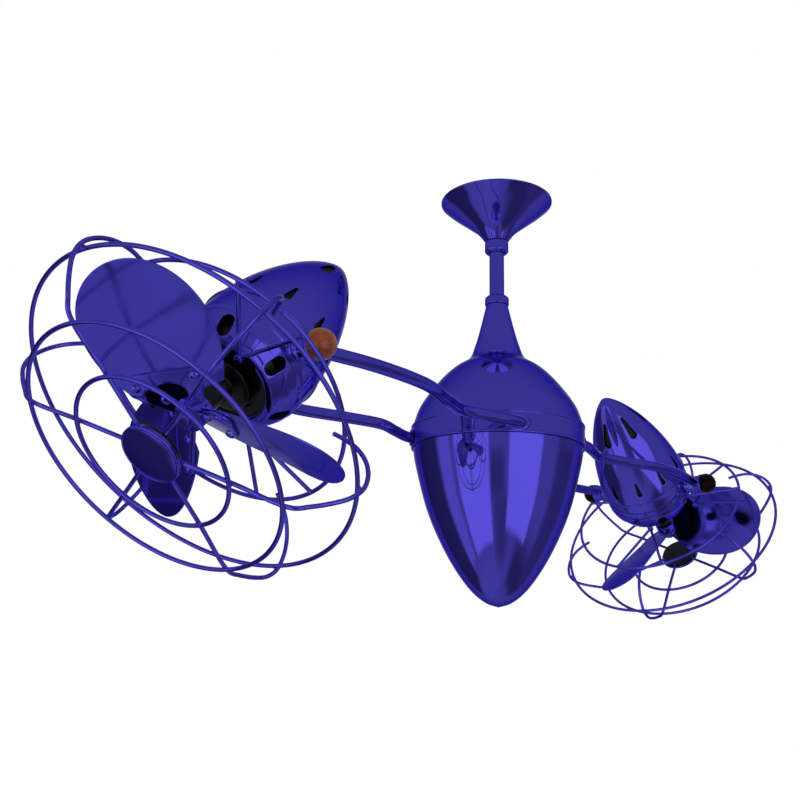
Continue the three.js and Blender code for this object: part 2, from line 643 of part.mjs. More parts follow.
const RIB_CLEARANCE = 2 * WIRE_RADIUS + GAP; // middle to middle of two crossing wires
const FACET_SAG = 1.2; // how far a rib's straight facets lie inside its curve
const RING_PLANE = SPOKE_PLANE + RIB_CLEARANCE;
const LARGE_RING_RADIUS = WIDE_RING_RADIUS - LARGE_RING_INSET;
const REAR_RING_RADIUS = WIDE_RING_RADIUS - REAR_RING_INSET;
const PLATE_THICKNESS = 5;

// One rib: a straight spoke, a rounded loop outside the widest ring, and a short tail that
// runs over the rear ring.
function ribCurve() {
  const reach = WIDE_RING_RADIUS + RIB_CLEARANCE + FACET_SAG;
  const tail = REAR_RING_PLANE + RIB_CLEARANCE;
  const points = [
    [8, SPOKE_PLANE],
    [SMALL_RING_RADIUS, SPOKE_PLANE],
    [LARGE_RING_RADIUS + 6, SPOKE_PLANE],
    [reach - 27, SPOKE_PLANE - 7.5],
    [reach - 13, SPOKE_PLANE - 20],
    [reach - 4, WIDE_RING_PLANE + 13],
    [reach, WIDE_RING_PLANE],
    [reach - 3, WIDE_RING_PLANE - 14],
    [reach - 12, WIDE_RING_PLANE - 28],
    [REAR_RING_RADIUS + 16, tail + 4.5],
    [REAR_RING_RADIUS, tail - 0.4],
    [REAR_RING_RADIUS - 9, tail - 1.8],
  ];
  return new THREE.CatmullRomCurve3(points.map(([r, z]) => v3(r, 0, z)));
}

function guardRibs(turn) {
  const rib = bar(ribCurve(), WIRE_RADIUS, 5, 12);
  const bottom = SPOKE_PLANE - PLATE_THICKNESS / 2;
  const centre = disc(BADGE_RADIUS - 3, bottom, bottom + PLATE_THICKNESS, 12);
  return joined([centre, ...ringOf(GUARD_RIBS, (angle) => turnZ(rib, angle + turn))]);
}

function wireRing(radius, plane, segments) {
  const torus = new THREE.TorusGeometry(radius, WIRE_RADIUS, 5, segments);
  return solid(torus).translate([0, 0, plane]);
}

// Rear ring held off the housing's lip by three V-shaped pairs of struts.
function rearFrame(turn) {
  const ring = wireRing(REAR_RING_RADIUS, REAR_RING_PLANE, 24);
  const footRadius = LIP_RADIUS - LIP_WIDTH / 2;
  const footTop = FRONT_LIP + 8.5;
  const foot = disc(4, FRONT_LIP + GAP, footTop, 6).translate([footRadius, 0, 0]);
  const legs = [STRUT_SPREAD, -STRUT_SPREAD].map((spread) => straight(
    v3(footRadius, 0, footTop - 2.6),
    v3(REAR_RING_RADIUS * Math.cos(radians(spread)),
      REAR_RING_RADIUS * Math.sin(radians(spread)), REAR_RING_PLANE),
    WIRE_RADIUS, 5));
  const strut = joined([foot, ...legs]);
  return joined([ring, ...ringOf(3, (angle) => turnZ(strut, angle + turn))]);
}

// Round cover plate at the middle of the guard, plain.
function badge() {
  const back = SPOKE_PLANE + PLATE_THICKNESS / 2 + GAP;
  return turned([
    [0, back], [BADGE_RADIUS, back], [BADGE_RADIUS, back + 2.6],
    [BADGE_RADIUS - 2, back + 4], [0, back + 5.8],
  ], 20);
}

// ---------------------------------------------------------------- assembly

const group = (...children) => {
  const made = new THREE.Group();
  made.add(...children);
  return made;
};

// The front of the fan is its -Y side, and the left head is the right one turned half round.
const faceName = (turn, side) => (side * (turn === 0 ? 1 : -1) < 0 ? "front" : "back");

function head({ name, turn, tilt, bladeTurn, frameTurn, guardTurn }) {
  const label = (side, piece) => `${name}_${faceName(turn, side)}_${piece}`;
  const clamps = [1, -1].flatMap((side) => [
    part(label(side, "pivot_stud"), pivotStud(side), bareSteel()),
    part(label(side, "knob"), clampKnob(side), turnedWood()),
  ]);
  const blades = Array.from({ length: BLADE_COUNT }, (_, i) => (
    part(`${name}_blade_${i + 1}`, blade(bladeTurn + (360 * i) / BLADE_COUNT), bladeBlue())));
  const made = group(
    part(`${name}_rear_cover`, rearCover(), mirrorBlue()),
    part(`${name}_front_shell`, frontShell(), mirrorBlue()),
    part(`${name}_motor`, headMotor(), blackCasting()),
    part(`${name}_rotor_hub`, rotorHub(), blackCasting()),
    part(`${name}_blade_irons`, bladeIrons(bladeTurn), mirrorBlue()),
    part(`${name}_guard_ribs`, guardRibs(guardTurn), mirrorBlue()),
    part(`${name}_guard_small_ring`, wireRing(SMALL_RING_RADIUS, RING_PLANE, 20), mirrorBlue()),
    part(`${name}_guard_large_ring`, wireRing(LARGE_RING_RADIUS, RING_PLANE, 24), mirrorBlue()),
    part(`${name}_guard_wide_ring`, wireRing(WIDE_RING_RADIUS, WIDE_RING_PLANE, 28),
      mirrorBlue()),
    part(`${name}_guard_rear_frame`, rearFrame(frameTurn), mirrorBlue()),
    part(`${name}_badge`, badge(), mirrorBlue()),
    ...blades,
    ...clamps,
  );
  made.position.set(REACH, 0, -ARM_DROP);
  made.rotation.y = radians(90 + tilt);
  return made;
}

// One side of the fan: a head between its two arms.
function wing(settings) {
  const { name, turn } = settings;
  const arms = [1, -1].flatMap((side) => [
    part(`${name}_${faceName(turn, side)}_arm`, arm(side), mirrorBlue()),
    part(`${name}_${faceName(turn, side)}_grommet`, grommet(side), mirrorBlue()),
  ]);
  const made = group(...arms, head(settings));
  made.rotation.z = radians(turn);
  return made;
}

const hangingGear = group(
  part("ceiling_bracket", ceilingBracket(), bareSteel()),
  part("canopy", canopy(), mirrorBlue()),
  part("canopy_collar", canopyCollar(), mirrorBlue()),
  part("hanger_ball", hangerBall(), bareSteel()),
  part("downrod", downrod(), mirrorBlue()),
  part("fixed_gear", fixedGear(), gearBrass()),
  part("rod_nut", rodNut(), bareSteel()),
);

const turningBody = group(
  part("neck_collar", neckCollar(), mirrorBlue()),
  part("upper_shell", upperShell(), mirrorBlue()),
  part("band", band(), mirrorBlue()),
  part("acorn_shell", acornShell(), mirrorBlue()),
  part("arm_carrier", armCarrier(), blackCasting()),
  part("main_bearing", mainBearing(), bareSteel()),
  part("drive_motor", driveMotor(), blackCasting()),
  part("drive_pinion", drivePinion(), gearBrass()),
  part("tie_rod", tieRod(), bareSteel()),
);

export default group(hangingGear, turningBody, wing(RIGHT), wing(LEFT));
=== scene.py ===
"""Looks of the twin head ceiling fan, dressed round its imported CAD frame.

Sizes are millimetres, as in the part's source, and become metres when a piece is made. Each head
is modelled in its own frame, z forwards along its axis from the tilt axis, and then placed.
"""

import json
import logging
import math
from collections.abc import Iterator, Mapping, Sequence
from contextlib import contextmanager
from dataclasses import dataclass, field
from enum import Enum
from itertools import pairwise

import bpy
from mathutils import Matrix, Vector

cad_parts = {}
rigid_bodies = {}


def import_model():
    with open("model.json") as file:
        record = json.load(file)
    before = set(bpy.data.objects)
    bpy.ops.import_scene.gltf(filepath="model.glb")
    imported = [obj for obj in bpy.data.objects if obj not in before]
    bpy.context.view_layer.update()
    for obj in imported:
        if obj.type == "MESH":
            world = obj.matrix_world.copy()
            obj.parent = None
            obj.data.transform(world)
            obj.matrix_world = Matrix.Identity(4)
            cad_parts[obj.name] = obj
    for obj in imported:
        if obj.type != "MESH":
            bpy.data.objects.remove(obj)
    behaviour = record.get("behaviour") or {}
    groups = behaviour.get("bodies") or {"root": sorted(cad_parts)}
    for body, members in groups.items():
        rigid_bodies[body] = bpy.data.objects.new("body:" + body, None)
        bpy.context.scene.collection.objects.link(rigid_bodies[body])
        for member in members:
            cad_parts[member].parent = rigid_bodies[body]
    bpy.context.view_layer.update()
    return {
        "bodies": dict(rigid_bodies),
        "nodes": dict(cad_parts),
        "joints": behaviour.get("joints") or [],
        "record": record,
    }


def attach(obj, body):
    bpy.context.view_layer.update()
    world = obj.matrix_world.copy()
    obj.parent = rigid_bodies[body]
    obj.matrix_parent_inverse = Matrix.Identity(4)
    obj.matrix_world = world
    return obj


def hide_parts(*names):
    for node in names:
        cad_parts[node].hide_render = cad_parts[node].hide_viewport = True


LOG = logging.getLogger("fan")
MM = 0.001
WELD_SWELL = 1.07  # how much thicker a hoop is at its weld
PIN_POINT = 0.0002  # radius at which a turned outline is taken to meet its axis
MERGE = 1e-6
GAP = 0.3  # between pieces that sit against each other
STUD_BORE = 4.3

Pair = tuple[float, float]
Triple = tuple[float, float, float]
Piece = bpy.types.Object


# ---------------------------------------------------------------- lines


def even_curve(points: Sequence[Pair], per_span: int = 8) -> list[Pair]:
    """A smooth outline through points, at an even pace, with its ends doubled."""
    led = [points[0], *points, points[-1]]
    found = []
    for first in range(len(points) - 1):
        p0, p1, p2, p3 = (Vector(p) for p in led[first:first + 4])
        for step in range(per_span):
            t = step / per_span
            slope_in, slope_out = (p2 - p0) / 2, (p3 - p1) / 2
            found.append(tuple(
                (2 * p1 - 2 * p2 + slope_in + slope_out) * t**3
                + (3 * p2 - 3 * p1 - 2 * slope_in - slope_out) * t**2
                + slope_in * t + p1))
    found.append(tuple(points[-1]))
    return found


def bent_line(points: Sequence[Triple], per_span: int = 12) -> list[Triple]:
    """A smooth line in space through points, paced by the root of their distances."""
    line = [Vector(p) for p in points]
    led = [2 * line[0] - line[1], *line, 2 * line[-1] - line[-2]]
    found = []
    for first in range(len(line) - 1):
        p0, p1, p2, p3 = led[first:first + 4]
        d0, d1, d2 = (max((b - a).length, 1e-4)**0.5 for a, b in pairwise((p0, p1, p2, p3)))
        into = ((p1 - p0) / d0 - (p2 - p0) / (d0 + d1) + (p2 - p1) / d1) * d1
        away = ((p2 - p1) / d1 - (p3 - p1) / (d1 + d2) + (p3 - p2) / d2) * d1
        for step in range(per_span):
            t = step / per_span
            found.append(tuple(
                p1 + into * t + (3 * p2 - 3 * p1 - 2 * into - away) * t**2
                + (2 * p1 - 2 * p2 + into + away) * t**3))
    found.append(tuple(line[-1]))
    return found


def eased(points: Sequence[Pair], radius: float, steps: int = 4) -> list[Pair]:
    """An open outline with its corners rounded.

    Args:
        points: Corners of the outline.
        radius: How far the rounding starts before each corner, at most.
        steps: Chords in each rounding.

    Returns:
        The rounded outline, with its two ends as they were.
    """
    found = [points[0]]
    for before, corner, after in zip(points, points[1:], points[2:]):
        here = Vector(corner)
        back, on = Vector(before) - here, Vector(after) - here
        reach = min(radius, back.length * 0.45, on.length * 0.45)
        if reach < 1e-6 or back.angle(-on) < 0.12:
            found.append(corner)
            continue
        start, end = here + back.normalized() * reach, here + on.normalized() * reach
        for step in range(steps + 1):
            t = step / steps
            found.append(tuple(start * (1 - t)**2 + here * 2 * t * (1 - t) + end * t**2))
    found.append(points[-1])
    return found


def polar(radius: float, degrees: float, height: float = 0.0) -> Vector:
    """A point by its radius and turn about z."""
    turn = math.radians(degrees)
    return Vector((radius * math.cos(turn), radius * math.sin(turn), height))


def turn_about(axis: str, degrees: float) -> Matrix:
    """A turn about one axis, in degrees."""
    return Matrix.Rotation(math.radians(degrees), 4, axis)


def shift(x: float = 0.0, y: float = 0.0, z: float = 0.0) -> Matrix:
    """A shift in millimetres, as a matrix in metres."""
    return Matrix.Translation(Vector((x, y, z)) * MM)


def sideways(side: int) -> Matrix:
    """Lays what was made along z along y, towards the given side."""
    return turn_about("X", -90 * side)


# ---------------------------------------------------------------- bench


class Cut(Enum):
    """What a cutter does to a piece."""

    AWAY = "DIFFERENCE"
    KEEP = "INTERSECT"
    JOIN = "UNION"


class Bench:
    """Modelling by operators. Each method leaves one mesh at the origin, in object mode."""

    @staticmethod
    def clear() -> None:
        """Deselects everything, so that the next operator acts on the new piece alone."""
        bpy.ops.object.select_all(action="DESELECT")

    @staticmethod
    def take(piece: Piece) -> None:
        """Makes a piece the only selected one."""
        Bench.clear()
        piece.select_set(True)
        bpy.context.view_layer.objects.active = piece

    @staticmethod
    def named(name: str) -> Piece:
        """The piece that was just added, under its name and with its place in its mesh."""
        piece = bpy.context.view_layer.objects.active
        piece.name = piece.data.name = name
        Bench.take(piece)
        bpy.ops.object.transform_apply(location=True, rotation=True, scale=True)
        return piece

    @staticmethod
    @contextmanager
    def editing(piece: Piece) -> Iterator[None]:
        """Edit mode with everything selected, closed again at the end."""
        Bench.take(piece)
        bpy.ops.object.mode_set(mode="EDIT")
        bpy.ops.mesh.select_all(action="SELECT")
        yield
        bpy.ops.object.mode_set(mode="OBJECT")

    @staticmethod
    def tidy(piece: Piece) -> Piece:
        """Merges doubled points and turns the faces outwards."""
        with Bench.editing(piece):
            bpy.ops.mesh.remove_doubles(threshold=MERGE)
            bpy.ops.mesh.normals_make_consistent(inside=False)
        return piece

    @staticmethod
    def turned(name: str, outline: Sequence[Pair], segments: int = 128) -> Piece:
        """Turns an outline about z, ring by ring.

        Args:
            name: Name of the piece.
            outline: Radius and height of each ring. Where it doesn't start and end on the axis
                it is closed onto its first ring.
            segments: Faces round the piece.

        Returns:
            A closed solid of revolution.
        """
        on_axis = outline[0][0] == 0 and outline[-1][0] == 0
        rings = [(max(r, PIN_POINT), z) for r, z in outline]
        if not on_axis:
            rings.append(rings[0])
        Bench.clear()
        bpy.ops.mesh.primitive_circle_add(
            vertices=segments, radius=rings[0][0] * MM, location=(0, 0, rings[0][1] * MM))
        piece = Bench.named(name)
        with Bench.editing(piece):
            for (radius, height), (wider, higher) in pairwise(rings):
                bpy.ops.mesh.extrude_region_move(
                    TRANSFORM_OT_translate={"value": (0, 0, (higher - height) * MM)})
                if wider != radius:
                    bpy.ops.transform.resize(
                        value=(wider / radius, wider / radius, 1),
                        center_override=(0, 0, higher * MM))
        return Bench.tidy(piece)

    @staticmethod
    def pin(name: str, radius: float, foot: float, top: float) -> Piece:
        """A plain pin along z, to bore a hole with."""
        return Bench.turned(name, [(0, foot), (radius, foot), (radius, top), (0, top)], 48)

    @staticmethod
    def pan_head(name: str, radius: float, height: float) -> Piece:
        """A domed screw head on z = 0 with a round socket in it."""
        return Bench.turned(name, [(r * radius, z * height) for r, z in (
            (0, 0.45), (0.36, 0.45), (0.4, 0.93), (0.62, 0.88), (0.86, 0.62), (1, 0.16),
            (1, -0.3), (0, -0.3))], 20)

    @staticmethod
    def wire(name: str, line: Sequence[Sequence[float]], radius: float, sides: int = 12) -> Piece:
        """A round bar along a line, capped at both ends."""
        Bench.clear()
        bpy.ops.curve.primitive_nurbs_path_add()
        path = bpy.context.view_layer.objects.active.data
        path.splines.clear()
        spline = path.splines.new("POLY")
        spline.points.add(len(line) - 1)
        for point, place in zip(spline.points, line):
            point.co = (*(Vector(place) * MM), 1)
        path.dimensions = "3D"
        path.bevel_depth = radius * MM
        path.bevel_resolution = (sides - 4) // 2
        path.use_fill_caps = True
        bpy.ops.object.convert(target="MESH")
        return Bench.tidy(Bench.named(name))

    @staticmethod
    def hoop(name: str, radius: float, height: float, thickness: float) -> Piece:
        """A ring of round wire, a little thicker where its ends are welded together."""
        Bench.clear()
        bpy.ops.mesh.primitive_torus_add(
            major_radius=radius * MM, minor_radius=thickness * MM, major_segments=240,
            minor_segments=14, location=(0, 0, height * MM))
        piece = Bench.named(name)
        weld = Vector((radius, 0, height)) * MM
        with Bench.editing(piece):
            bpy.ops.mesh.select_all(action="DESELECT")
        for vertex in piece.data.vertices:
            vertex.select = (vertex.co - weld).length < 1.7 * thickness * MM
        Bench.take(piece)
        bpy.ops.object.mode_set(mode="EDIT")
        bpy.ops.transform.resize(value=(WELD_SWELL, 1.0, WELD_SWELL), center_override=weld)
        bpy.ops.object.mode_set(mode="OBJECT")
        return piece

    @staticmethod
    def plate(name: str, outline: Sequence[Pair], thickness: float, corner: float = 0.0) -> Piece:
        """A flat plate standing on z = 0.

        Args:
            name: Name of the piece.
            outline: Its corners, in order.
            thickness: Its height.
            corner: Rounding of its corners, seen from above.

        Returns:
            The closed plate.
        """
        Bench.clear()
        bpy.ops.mesh.primitive_circle_add(vertices=len(outline), radius=MM, fill_type="NGON")
        piece = Bench.named(name)
        for vertex, (x, y) in zip(piece.data.vertices, outline):
            vertex.co = (x * MM, y * MM, 0)
        with Bench.editing(piece):
            if corner:
                bpy.ops.mesh.bevel(
                    offset=corner * MM, offset_type="OFFSET", segments=5, affect="VERTICES")
            bpy.ops.mesh.select_all(action="SELECT")
            bpy.ops.mesh.extrude_region_move(
                TRANSFORM_OT_translate={"value": (0, 0, thickness * MM)})
        return Bench.tidy(piece)

    @staticmethod
    def bead(name: str, place: Vector, size: Triple) -> Piece:
        """A small blob of weld, flattened to its three half sizes."""
        Bench.clear()
        bpy.ops.mesh.primitive_ico_sphere_add(
            subdivisions=2, radius=MM, location=place * MM, scale=size)
        return Bench.named(name)

    @staticmethod
    def place(piece: Piece, matrix: Matrix) -> Piece:
        """Moves a piece's mesh by a matrix in metres."""
        Bench.take(piece)
        piece.matrix_world = matrix
        bpy.ops.object.transform_apply(location=True, rotation=True, scale=True)
        return piece

    @staticmethod
    def copy(piece: Piece, name: str, matrix: Matrix) -> Piece:
        """A copy with its own mesh, moved by a matrix."""
        twin = piece.copy()
        twin.data = piece.data.copy()
        twin.name = twin.data.name = name
        bpy.context.scene.collection.objects.link(twin)
        return Bench.place(twin, matrix)

    @staticmethod
    def ring_of(piece: Piece, count: int, start: float = 0.0) -> Piece:
        """The piece repeated about z at even turns, all in one mesh."""
        turns = [turn_about("Z", start + 360 * i / count) for i in range(count)]
        copies = [Bench.copy(piece, f"{piece.name}_{i}", turn) for i, turn in enumerate(turns)]
        bpy.data.objects.remove(piece)
        return Bench.join(copies)

    @staticmethod
    def join(pieces: Sequence[Piece]) -> Piece:
        """Several pieces in one mesh, under the first one's name."""
        Bench.take(pieces[0])
        for piece in pieces[1:]:
            piece.select_set(True)
        bpy.ops.object.join()
        return bpy.context.view_layer.objects.active

    @staticmethod
    def modify(piece: Piece, kind: str, **settings: object) -> Piece:
        """Adds a modifier with its settings and applies it."""
        Bench.take(piece)
        modifier = piece.modifiers.new(kind.title(), kind)
        for key, value in settings.items():
            setattr(modifier, key, value)
        bpy.ops.object.modifier_apply(modifier=modifier.name)
        return piece

    @staticmethod
    def cut(piece: Piece, tool: Piece, cut: Cut = Cut.AWAY) -> Piece:
        """Cuts a piece by a tool, which is used up."""
        Bench.modify(piece, "BOOLEAN", object=tool, operation=cut.value, solver="EXACT")
        bpy.data.objects.remove(tool)
        return piece

    @staticmethod
    def soften(piece: Piece, width: float, segments: int = 3, above: float = 35.0) -> Piece:
        """Rounds the edges that are sharper than an angle."""
        return Bench.modify(
            piece, "BEVEL", width=width * MM, segments=segments, limit_method="ANGLE",
            angle_limit=math.radians(above), use_clamp_overlap=True)

    @staticmethod
    def smooth(piece: Piece, angle: float = 30.0) -> Piece:
        """Smooth shading but at edges sharper than an angle."""
        Bench.take(piece)
        bpy.ops.object.shade_smooth_by_angle(angle=math.radians(angle))
        return piece


# ---------------------------------------------------------------- shader nodes


class Signal:
    """A number that varies over a surface. Sums and products of it add Math nodes."""

    def __init__(self, tree: "NodeTree", socket: bpy.types.NodeSocket) -> None:
        """Wraps an output socket of a tree."""
        self.tree = tree
        self.socket = socket

    def maths(self, operation: str, *inputs: object) -> "Signal":
        """A Math node on the given inputs."""
        node = self.tree.node(
            "ShaderNodeMath", {"operation": operation}, dict(enumerate(inputs)))
        return Signal(self.tree, node.outputs[0])

    def __add__(self, other: object) -> "Signal":
        """Self plus other."""
        return self.maths("ADD", self, other)

    __radd__ = __add__

    def __mul__(self, other: object) -> "Signal":
        """Self times other."""
        return self.maths("MULTIPLY", self, other)

    __rmul__ = __mul__

    def __sub__(self, other: object) -> "Signal":
        """Self less other."""
        return self.maths("SUBTRACT", self, other)

    def __rsub__(self, other: object) -> "Signal":
        """Other less self."""
        return self.maths("SUBTRACT", other, self)

    def eased(self, low: float, high: float) -> "Signal":
        """0 below low, 1 above high, and smooth between, whichever of the two is greater."""
        node = self.tree.node(
            "ShaderNodeMapRange", {"interpolation_type": "SMOOTHSTEP"},
            {0: self, 1: low, 2: high})
        return Signal(self.tree, node.outputs[0])


class NodeTree:
    """Builds the nodes of a material or a world."""

    def __init__(self, owner: bpy.types.ID) -> None:
        """Empties the owner's node tree."""
        owner.use_nodes = True
        self.tree = owner.node_tree
        self.tree.nodes.clear()

    def node(
        self, kind: str, settings: Mapping[str, object] | None = None,
        inputs: Mapping[object, object] | None = None,
    ) -> bpy.types.Node:
        """Adds a node.

        Args:
            kind: The node's type.
            settings: Its own properties. The stops of a ramp go under "stops".
            inputs: Values, signals or sockets by the input's name or number.

        Returns:
            The node.
        """
        node = self.tree.nodes.new(kind)
        for key, value in (settings or {}).items():
            if key == "stops":
                self.set_stops(node.color_ramp, value)
            else:
                setattr(node, key, value)
        for key, value in (inputs or {}).items():
            source = value.socket if isinstance(value, Signal) else value
            if isinstance(source, bpy.types.NodeSocket):
                self.tree.links.new(source, node.inputs[key])
            else:
                node.inputs[key].default_value = source
        return node

    @staticmethod
    def set_stops(ramp: bpy.types.ColorRamp, stops: Sequence[tuple[float, Triple]]) -> None:
        """Gives a ramp its stops, each a place and a colour."""
        while len(ramp.elements) < len(stops):
            ramp.elements.new(0.5)
        for element, (position, colour) in zip(ramp.elements, stops):
            element.position, element.color = position, (*colour, 1)

    def place(self, scale: Triple = (1, 1, 1), turn: Triple = (0, 0, 0)) -> bpy.types.NodeSocket:
        """Object coordinates, scaled and turned."""
        where = self.node("ShaderNodeTexCoord").outputs["Object"]
        mapped = self.node("ShaderNodeMapping", None, {
            "Vector": where, "Rotation": turn, "Scale": scale})
        return mapped.outputs[0]

    def noise(self, where: bpy.types.NodeSocket, scale: float, detail: float = 2.0) -> Signal:
        """Smooth noise of so many lumps to the metre."""
        node = self.node("ShaderNodeTexNoise", None, {
            "Vector": where, "Scale": scale, "Detail": detail})
        return Signal(self, node.outputs[0])

    def tint(self, share: Signal, first: Triple, second: Triple) -> bpy.types.NodeSocket:
        """A colour between two, by a share from 0 to 1."""
        node = self.node("ShaderNodeMix", {"data_type": "RGBA"}, {
            0: share, 6: (*first, 1), 7: (*second, 1)})
        return node.outputs[2]

    def bump(self, height: Signal, strength: float, depth: float) -> bpy.types.NodeSocket:
        """A normal from a height, the depth in millimetres."""
        node = self.node("ShaderNodeBump", None, {
            "Strength": strength, "Distance": depth * MM, "Height": height})
        return node.outputs[0]

    def surface(self, inputs: Mapping[str, object]) -> None:
        """Ends the tree in a Principled surface."""
        shader = self.node("ShaderNodeBsdfPrincipled", None, inputs)
        self.node("ShaderNodeOutputMaterial", None, {"Surface": shader.outputs[0]})


# ---------------------------------------------------------------- finishes


@dataclass(frozen=True)
class Finish:
    """A finish under its name, for one of the record's material slots."""

    name: str
    slot: str

    def paint(self, tree: NodeTree) -> None:
        """Builds the finish's nodes."""
        raise NotImplementedError

    def material(self) -> bpy.types.Material:
        """The finish's material, made once."""
        found = bpy.data.materials.get(self.name)
        if found is None:
            found = bpy.data.materials.new(self.name)
            self.paint(NodeTree(found))
        return found

    def dress(self, piece: Piece) -> Piece:
        """Puts this finish all over a piece."""
        piece.data.materials.clear()
        piece.data.materials.append(self.material())
        return piece


@dataclass(frozen=True)
class TintedMirror(Finish):
    """Polished plating under a clear coloured lacquer."""

    colour: Triple
    deep: Triple
    roughness: float
    peel: float = 0.05
    pale: float = 0.85
    seen_again: Triple = (0.75, 0.75, 0.8)

    def paint(self, tree: NodeTree) -> None:
        """A coloured mirror with a trace of haze, handling marks and lacquer ripple.

        What it shows of other lacquer is paler than that lacquer, as in the photograph, where
        a reflection of a reflection is hardly bluer than the first.
        """
        where = tree.place()
        cloud = tree.noise(where, 7, 3)
        marks = tree.noise(where, 46, 4)
        ripple = tree.noise(where, 210, 1)
        path = tree.node("ShaderNodeLightPath")
        mirrored = Signal(tree, path.outputs["Is Glossy Ray"]) * self.pale
        own = tree.tint(cloud.eased(0.3, 0.72), self.colour, self.deep)
        colour = tree.node("ShaderNodeMix", {"data_type": "RGBA"}, {
            0: mirrored, 6: own, 7: (*self.seen_again, 1)})
        tree.surface({
            "Base Color": colour.outputs[2],
            "Metallic": 1.0,
            "Roughness": self.roughness + marks.eased(0.5, 0.85) * (0.9 * self.roughness),
            "Specular Tint": (*(0.3 + 0.7 * c for c in self.colour), 1),
            "Normal": tree.bump(ripple, self.peel, 0.06),
        })


@dataclass(frozen=True)
class TurnedWood(Finish):
    """Oiled and polished hardwood, turned about an axis; a near-black copy of it is painted shade
    on the right head's knobs.
    """

    light: Triple
    dark: Triple
    coat: float

    def paint(self, tree: NodeTree) -> None:
        """Fine grain that runs along the ball, broad flame, pores and a clear polish."""
        along = tree.place((1, 0.12, 1), (0.35, 0.1, 0.6))
        flame = tree.noise(tree.place((1, 0.45, 1), (0.2, 0.5, 0.9)), 55, 2)
        lines = tree.noise(along, 420, 4)
        pores = tree.noise(along, 1500, 2)
        grain = flame * 0.6 + lines * 0.4
        tree.surface({
            "Base Color": tree.tint(grain.eased(0.32, 0.66), self.dark, self.light),
            "Roughness": 0.28 + lines * 0.14,
            "Specular IOR Level": self.coat,
            "Coat Weight": self.coat,
            "Coat Roughness": 0.03,
            "Normal": tree.bump(pores * 0.5 + lines * 0.5, 0.06, 0.06),
        })


@dataclass(frozen=True)
class WorkedMetal(Finish):
    """Bare or brushed metal."""

    colour: Triple
    dull: Triple
    roughness: float

    def paint(self, tree: NodeTree) -> None:
        """Fine scratches with patches of dulled metal."""
        scratches = tree.noise(tree.place((1, 1, 0.08)), 900, 2)
        patches = tree.noise(tree.place(), 30, 4)
        tree.surface({
            "Base Color": tree.tint(patches.eased(0.35, 0.75), self.colour, self.dull),
            "Metallic": 1.0,
            "Roughness": self.roughness + patches * 0.12 + scratches * 0.08,
            "Normal": tree.bump(scratches, 0.12, 0.05),
        })


@dataclass(frozen=True)
class BlackCasting(Finish):
    """Black enamel over cast or pressed metal; also the near-black painted shade of the rear cover
    liner.
    """

    colour: Triple
    worn: Triple
    roughness: float
    metallic: float

    def paint(self, tree: NodeTree) -> None:
        """A fine orange skin and rubbed patches."""
        skin = tree.noise(tree.place(), 520, 3)
        rubbed = tree.noise(tree.place(), 24, 4)
        tree.surface({
            "Base Color": tree.tint(rubbed.eased(0.45, 0.8), self.colour, self.worn),
            "Metallic": self.metallic,
            "Roughness": self.roughness + skin * 0.14,
            "Normal": tree.bump(skin, 0.25, 0.15),
        })


MIRROR = TintedMirror("mirror_blue_lacquer", "mirror_blue", (0.098, 0.079, 0.68),
                      (0.093, 0.074, 0.65), 0.03)
BLADE = TintedMirror("blade_blue_lacquer", "blade_blue", (0.098, 0.079, 0.68),
                     (0.09, 0.071, 0.63), 0.11, 0.1)
WOOD = TurnedWood("polished_wood", "turned_wood", (0.21, 0.034, 0.003), (0.05, 0.01, 0.002), 0.35)
# Painted shade: a near-black copy of the knob wood, darkened for the shade that the right head's
# knobs sit in; the wood itself is the same.
PAINTED_SHADE_WOOD = TurnedWood("polished_wood_dark", "turned_wood", (0.006, 0.002, 0.002),
                        (0.002, 0.001, 0.001), 0.03)
STEEL = WorkedMetal("bare_steel_brushed", "bare_steel", (0.55, 0.56, 0.58), (0.3, 0.3, 0.31), 0.28)
BRASS = WorkedMetal("gear_brass_cut", "gear_brass", (0.62, 0.43, 0.16), (0.35, 0.23, 0.08), 0.32)
CASTING = BlackCasting("black_casting_enamel", "black_casting", (0.006, 0.006, 0.008),
                       (0.018, 0.017, 0.02), 0.38, 0.3)
# Painted shade: a near-black, matt colour for the liner, standing in for the shade inside the rear
# cover that shows through its slots.
PAINTED_SHADE_LINER = BlackCasting("liner_black_paint", "black_casting", (0.0015, 0.0015, 0.002),
                     (0.004, 0.004, 0.005), 0.7, 0.0)
HUB = BlackCasting("dark_hub_enamel", "dark_hub", (0.003, 0.003, 0.005), (0.01, 0.009, 0.014),
                   0.2, 0.5)


# ---------------------------------------------------------------- assemblies


@dataclass
class Assembly:
    """A sub-assembly that hangs its finished pieces in the frame."""

    bodies: Mapping[str, str]

    def add(self, piece: Piece, node: str, finish: Finish) -> Piece:
        """Dresses a piece and rides it on the body of a node."""
        if not piece.data.materials:
            finish.dress(piece)
        Bench.smooth(piece)
        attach(piece, self.bodies[node])
        LOG.info("%s on %s, %d faces", piece.name, self.bodies[node], len(piece.data.polygons))
        return piece

    def hang(self, piece: Piece, node: str, finish: Finish) -> Piece:
        """Rides a dressed piece on its node's body, in that node's stead.

        Args:
            piece: The piece, in its place.
            node: The CAD node that it stands for.
            finish: Its main finish, which dresses the piece if it has no material yet.

        Returns:
            The piece.
        """
        self.add(piece, node, finish)
        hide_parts(node)
        return piece

    def keep(self, frame: Mapping[str, Mapping], nodes: Sequence[str], finish: Finish) -> None:
        """Dresses CAD nodes that stay as they are."""
        for node in nodes:
            finish.dress(frame["nodes"][node])
            LOG.info("%s kept, in %s", node, finish.name)


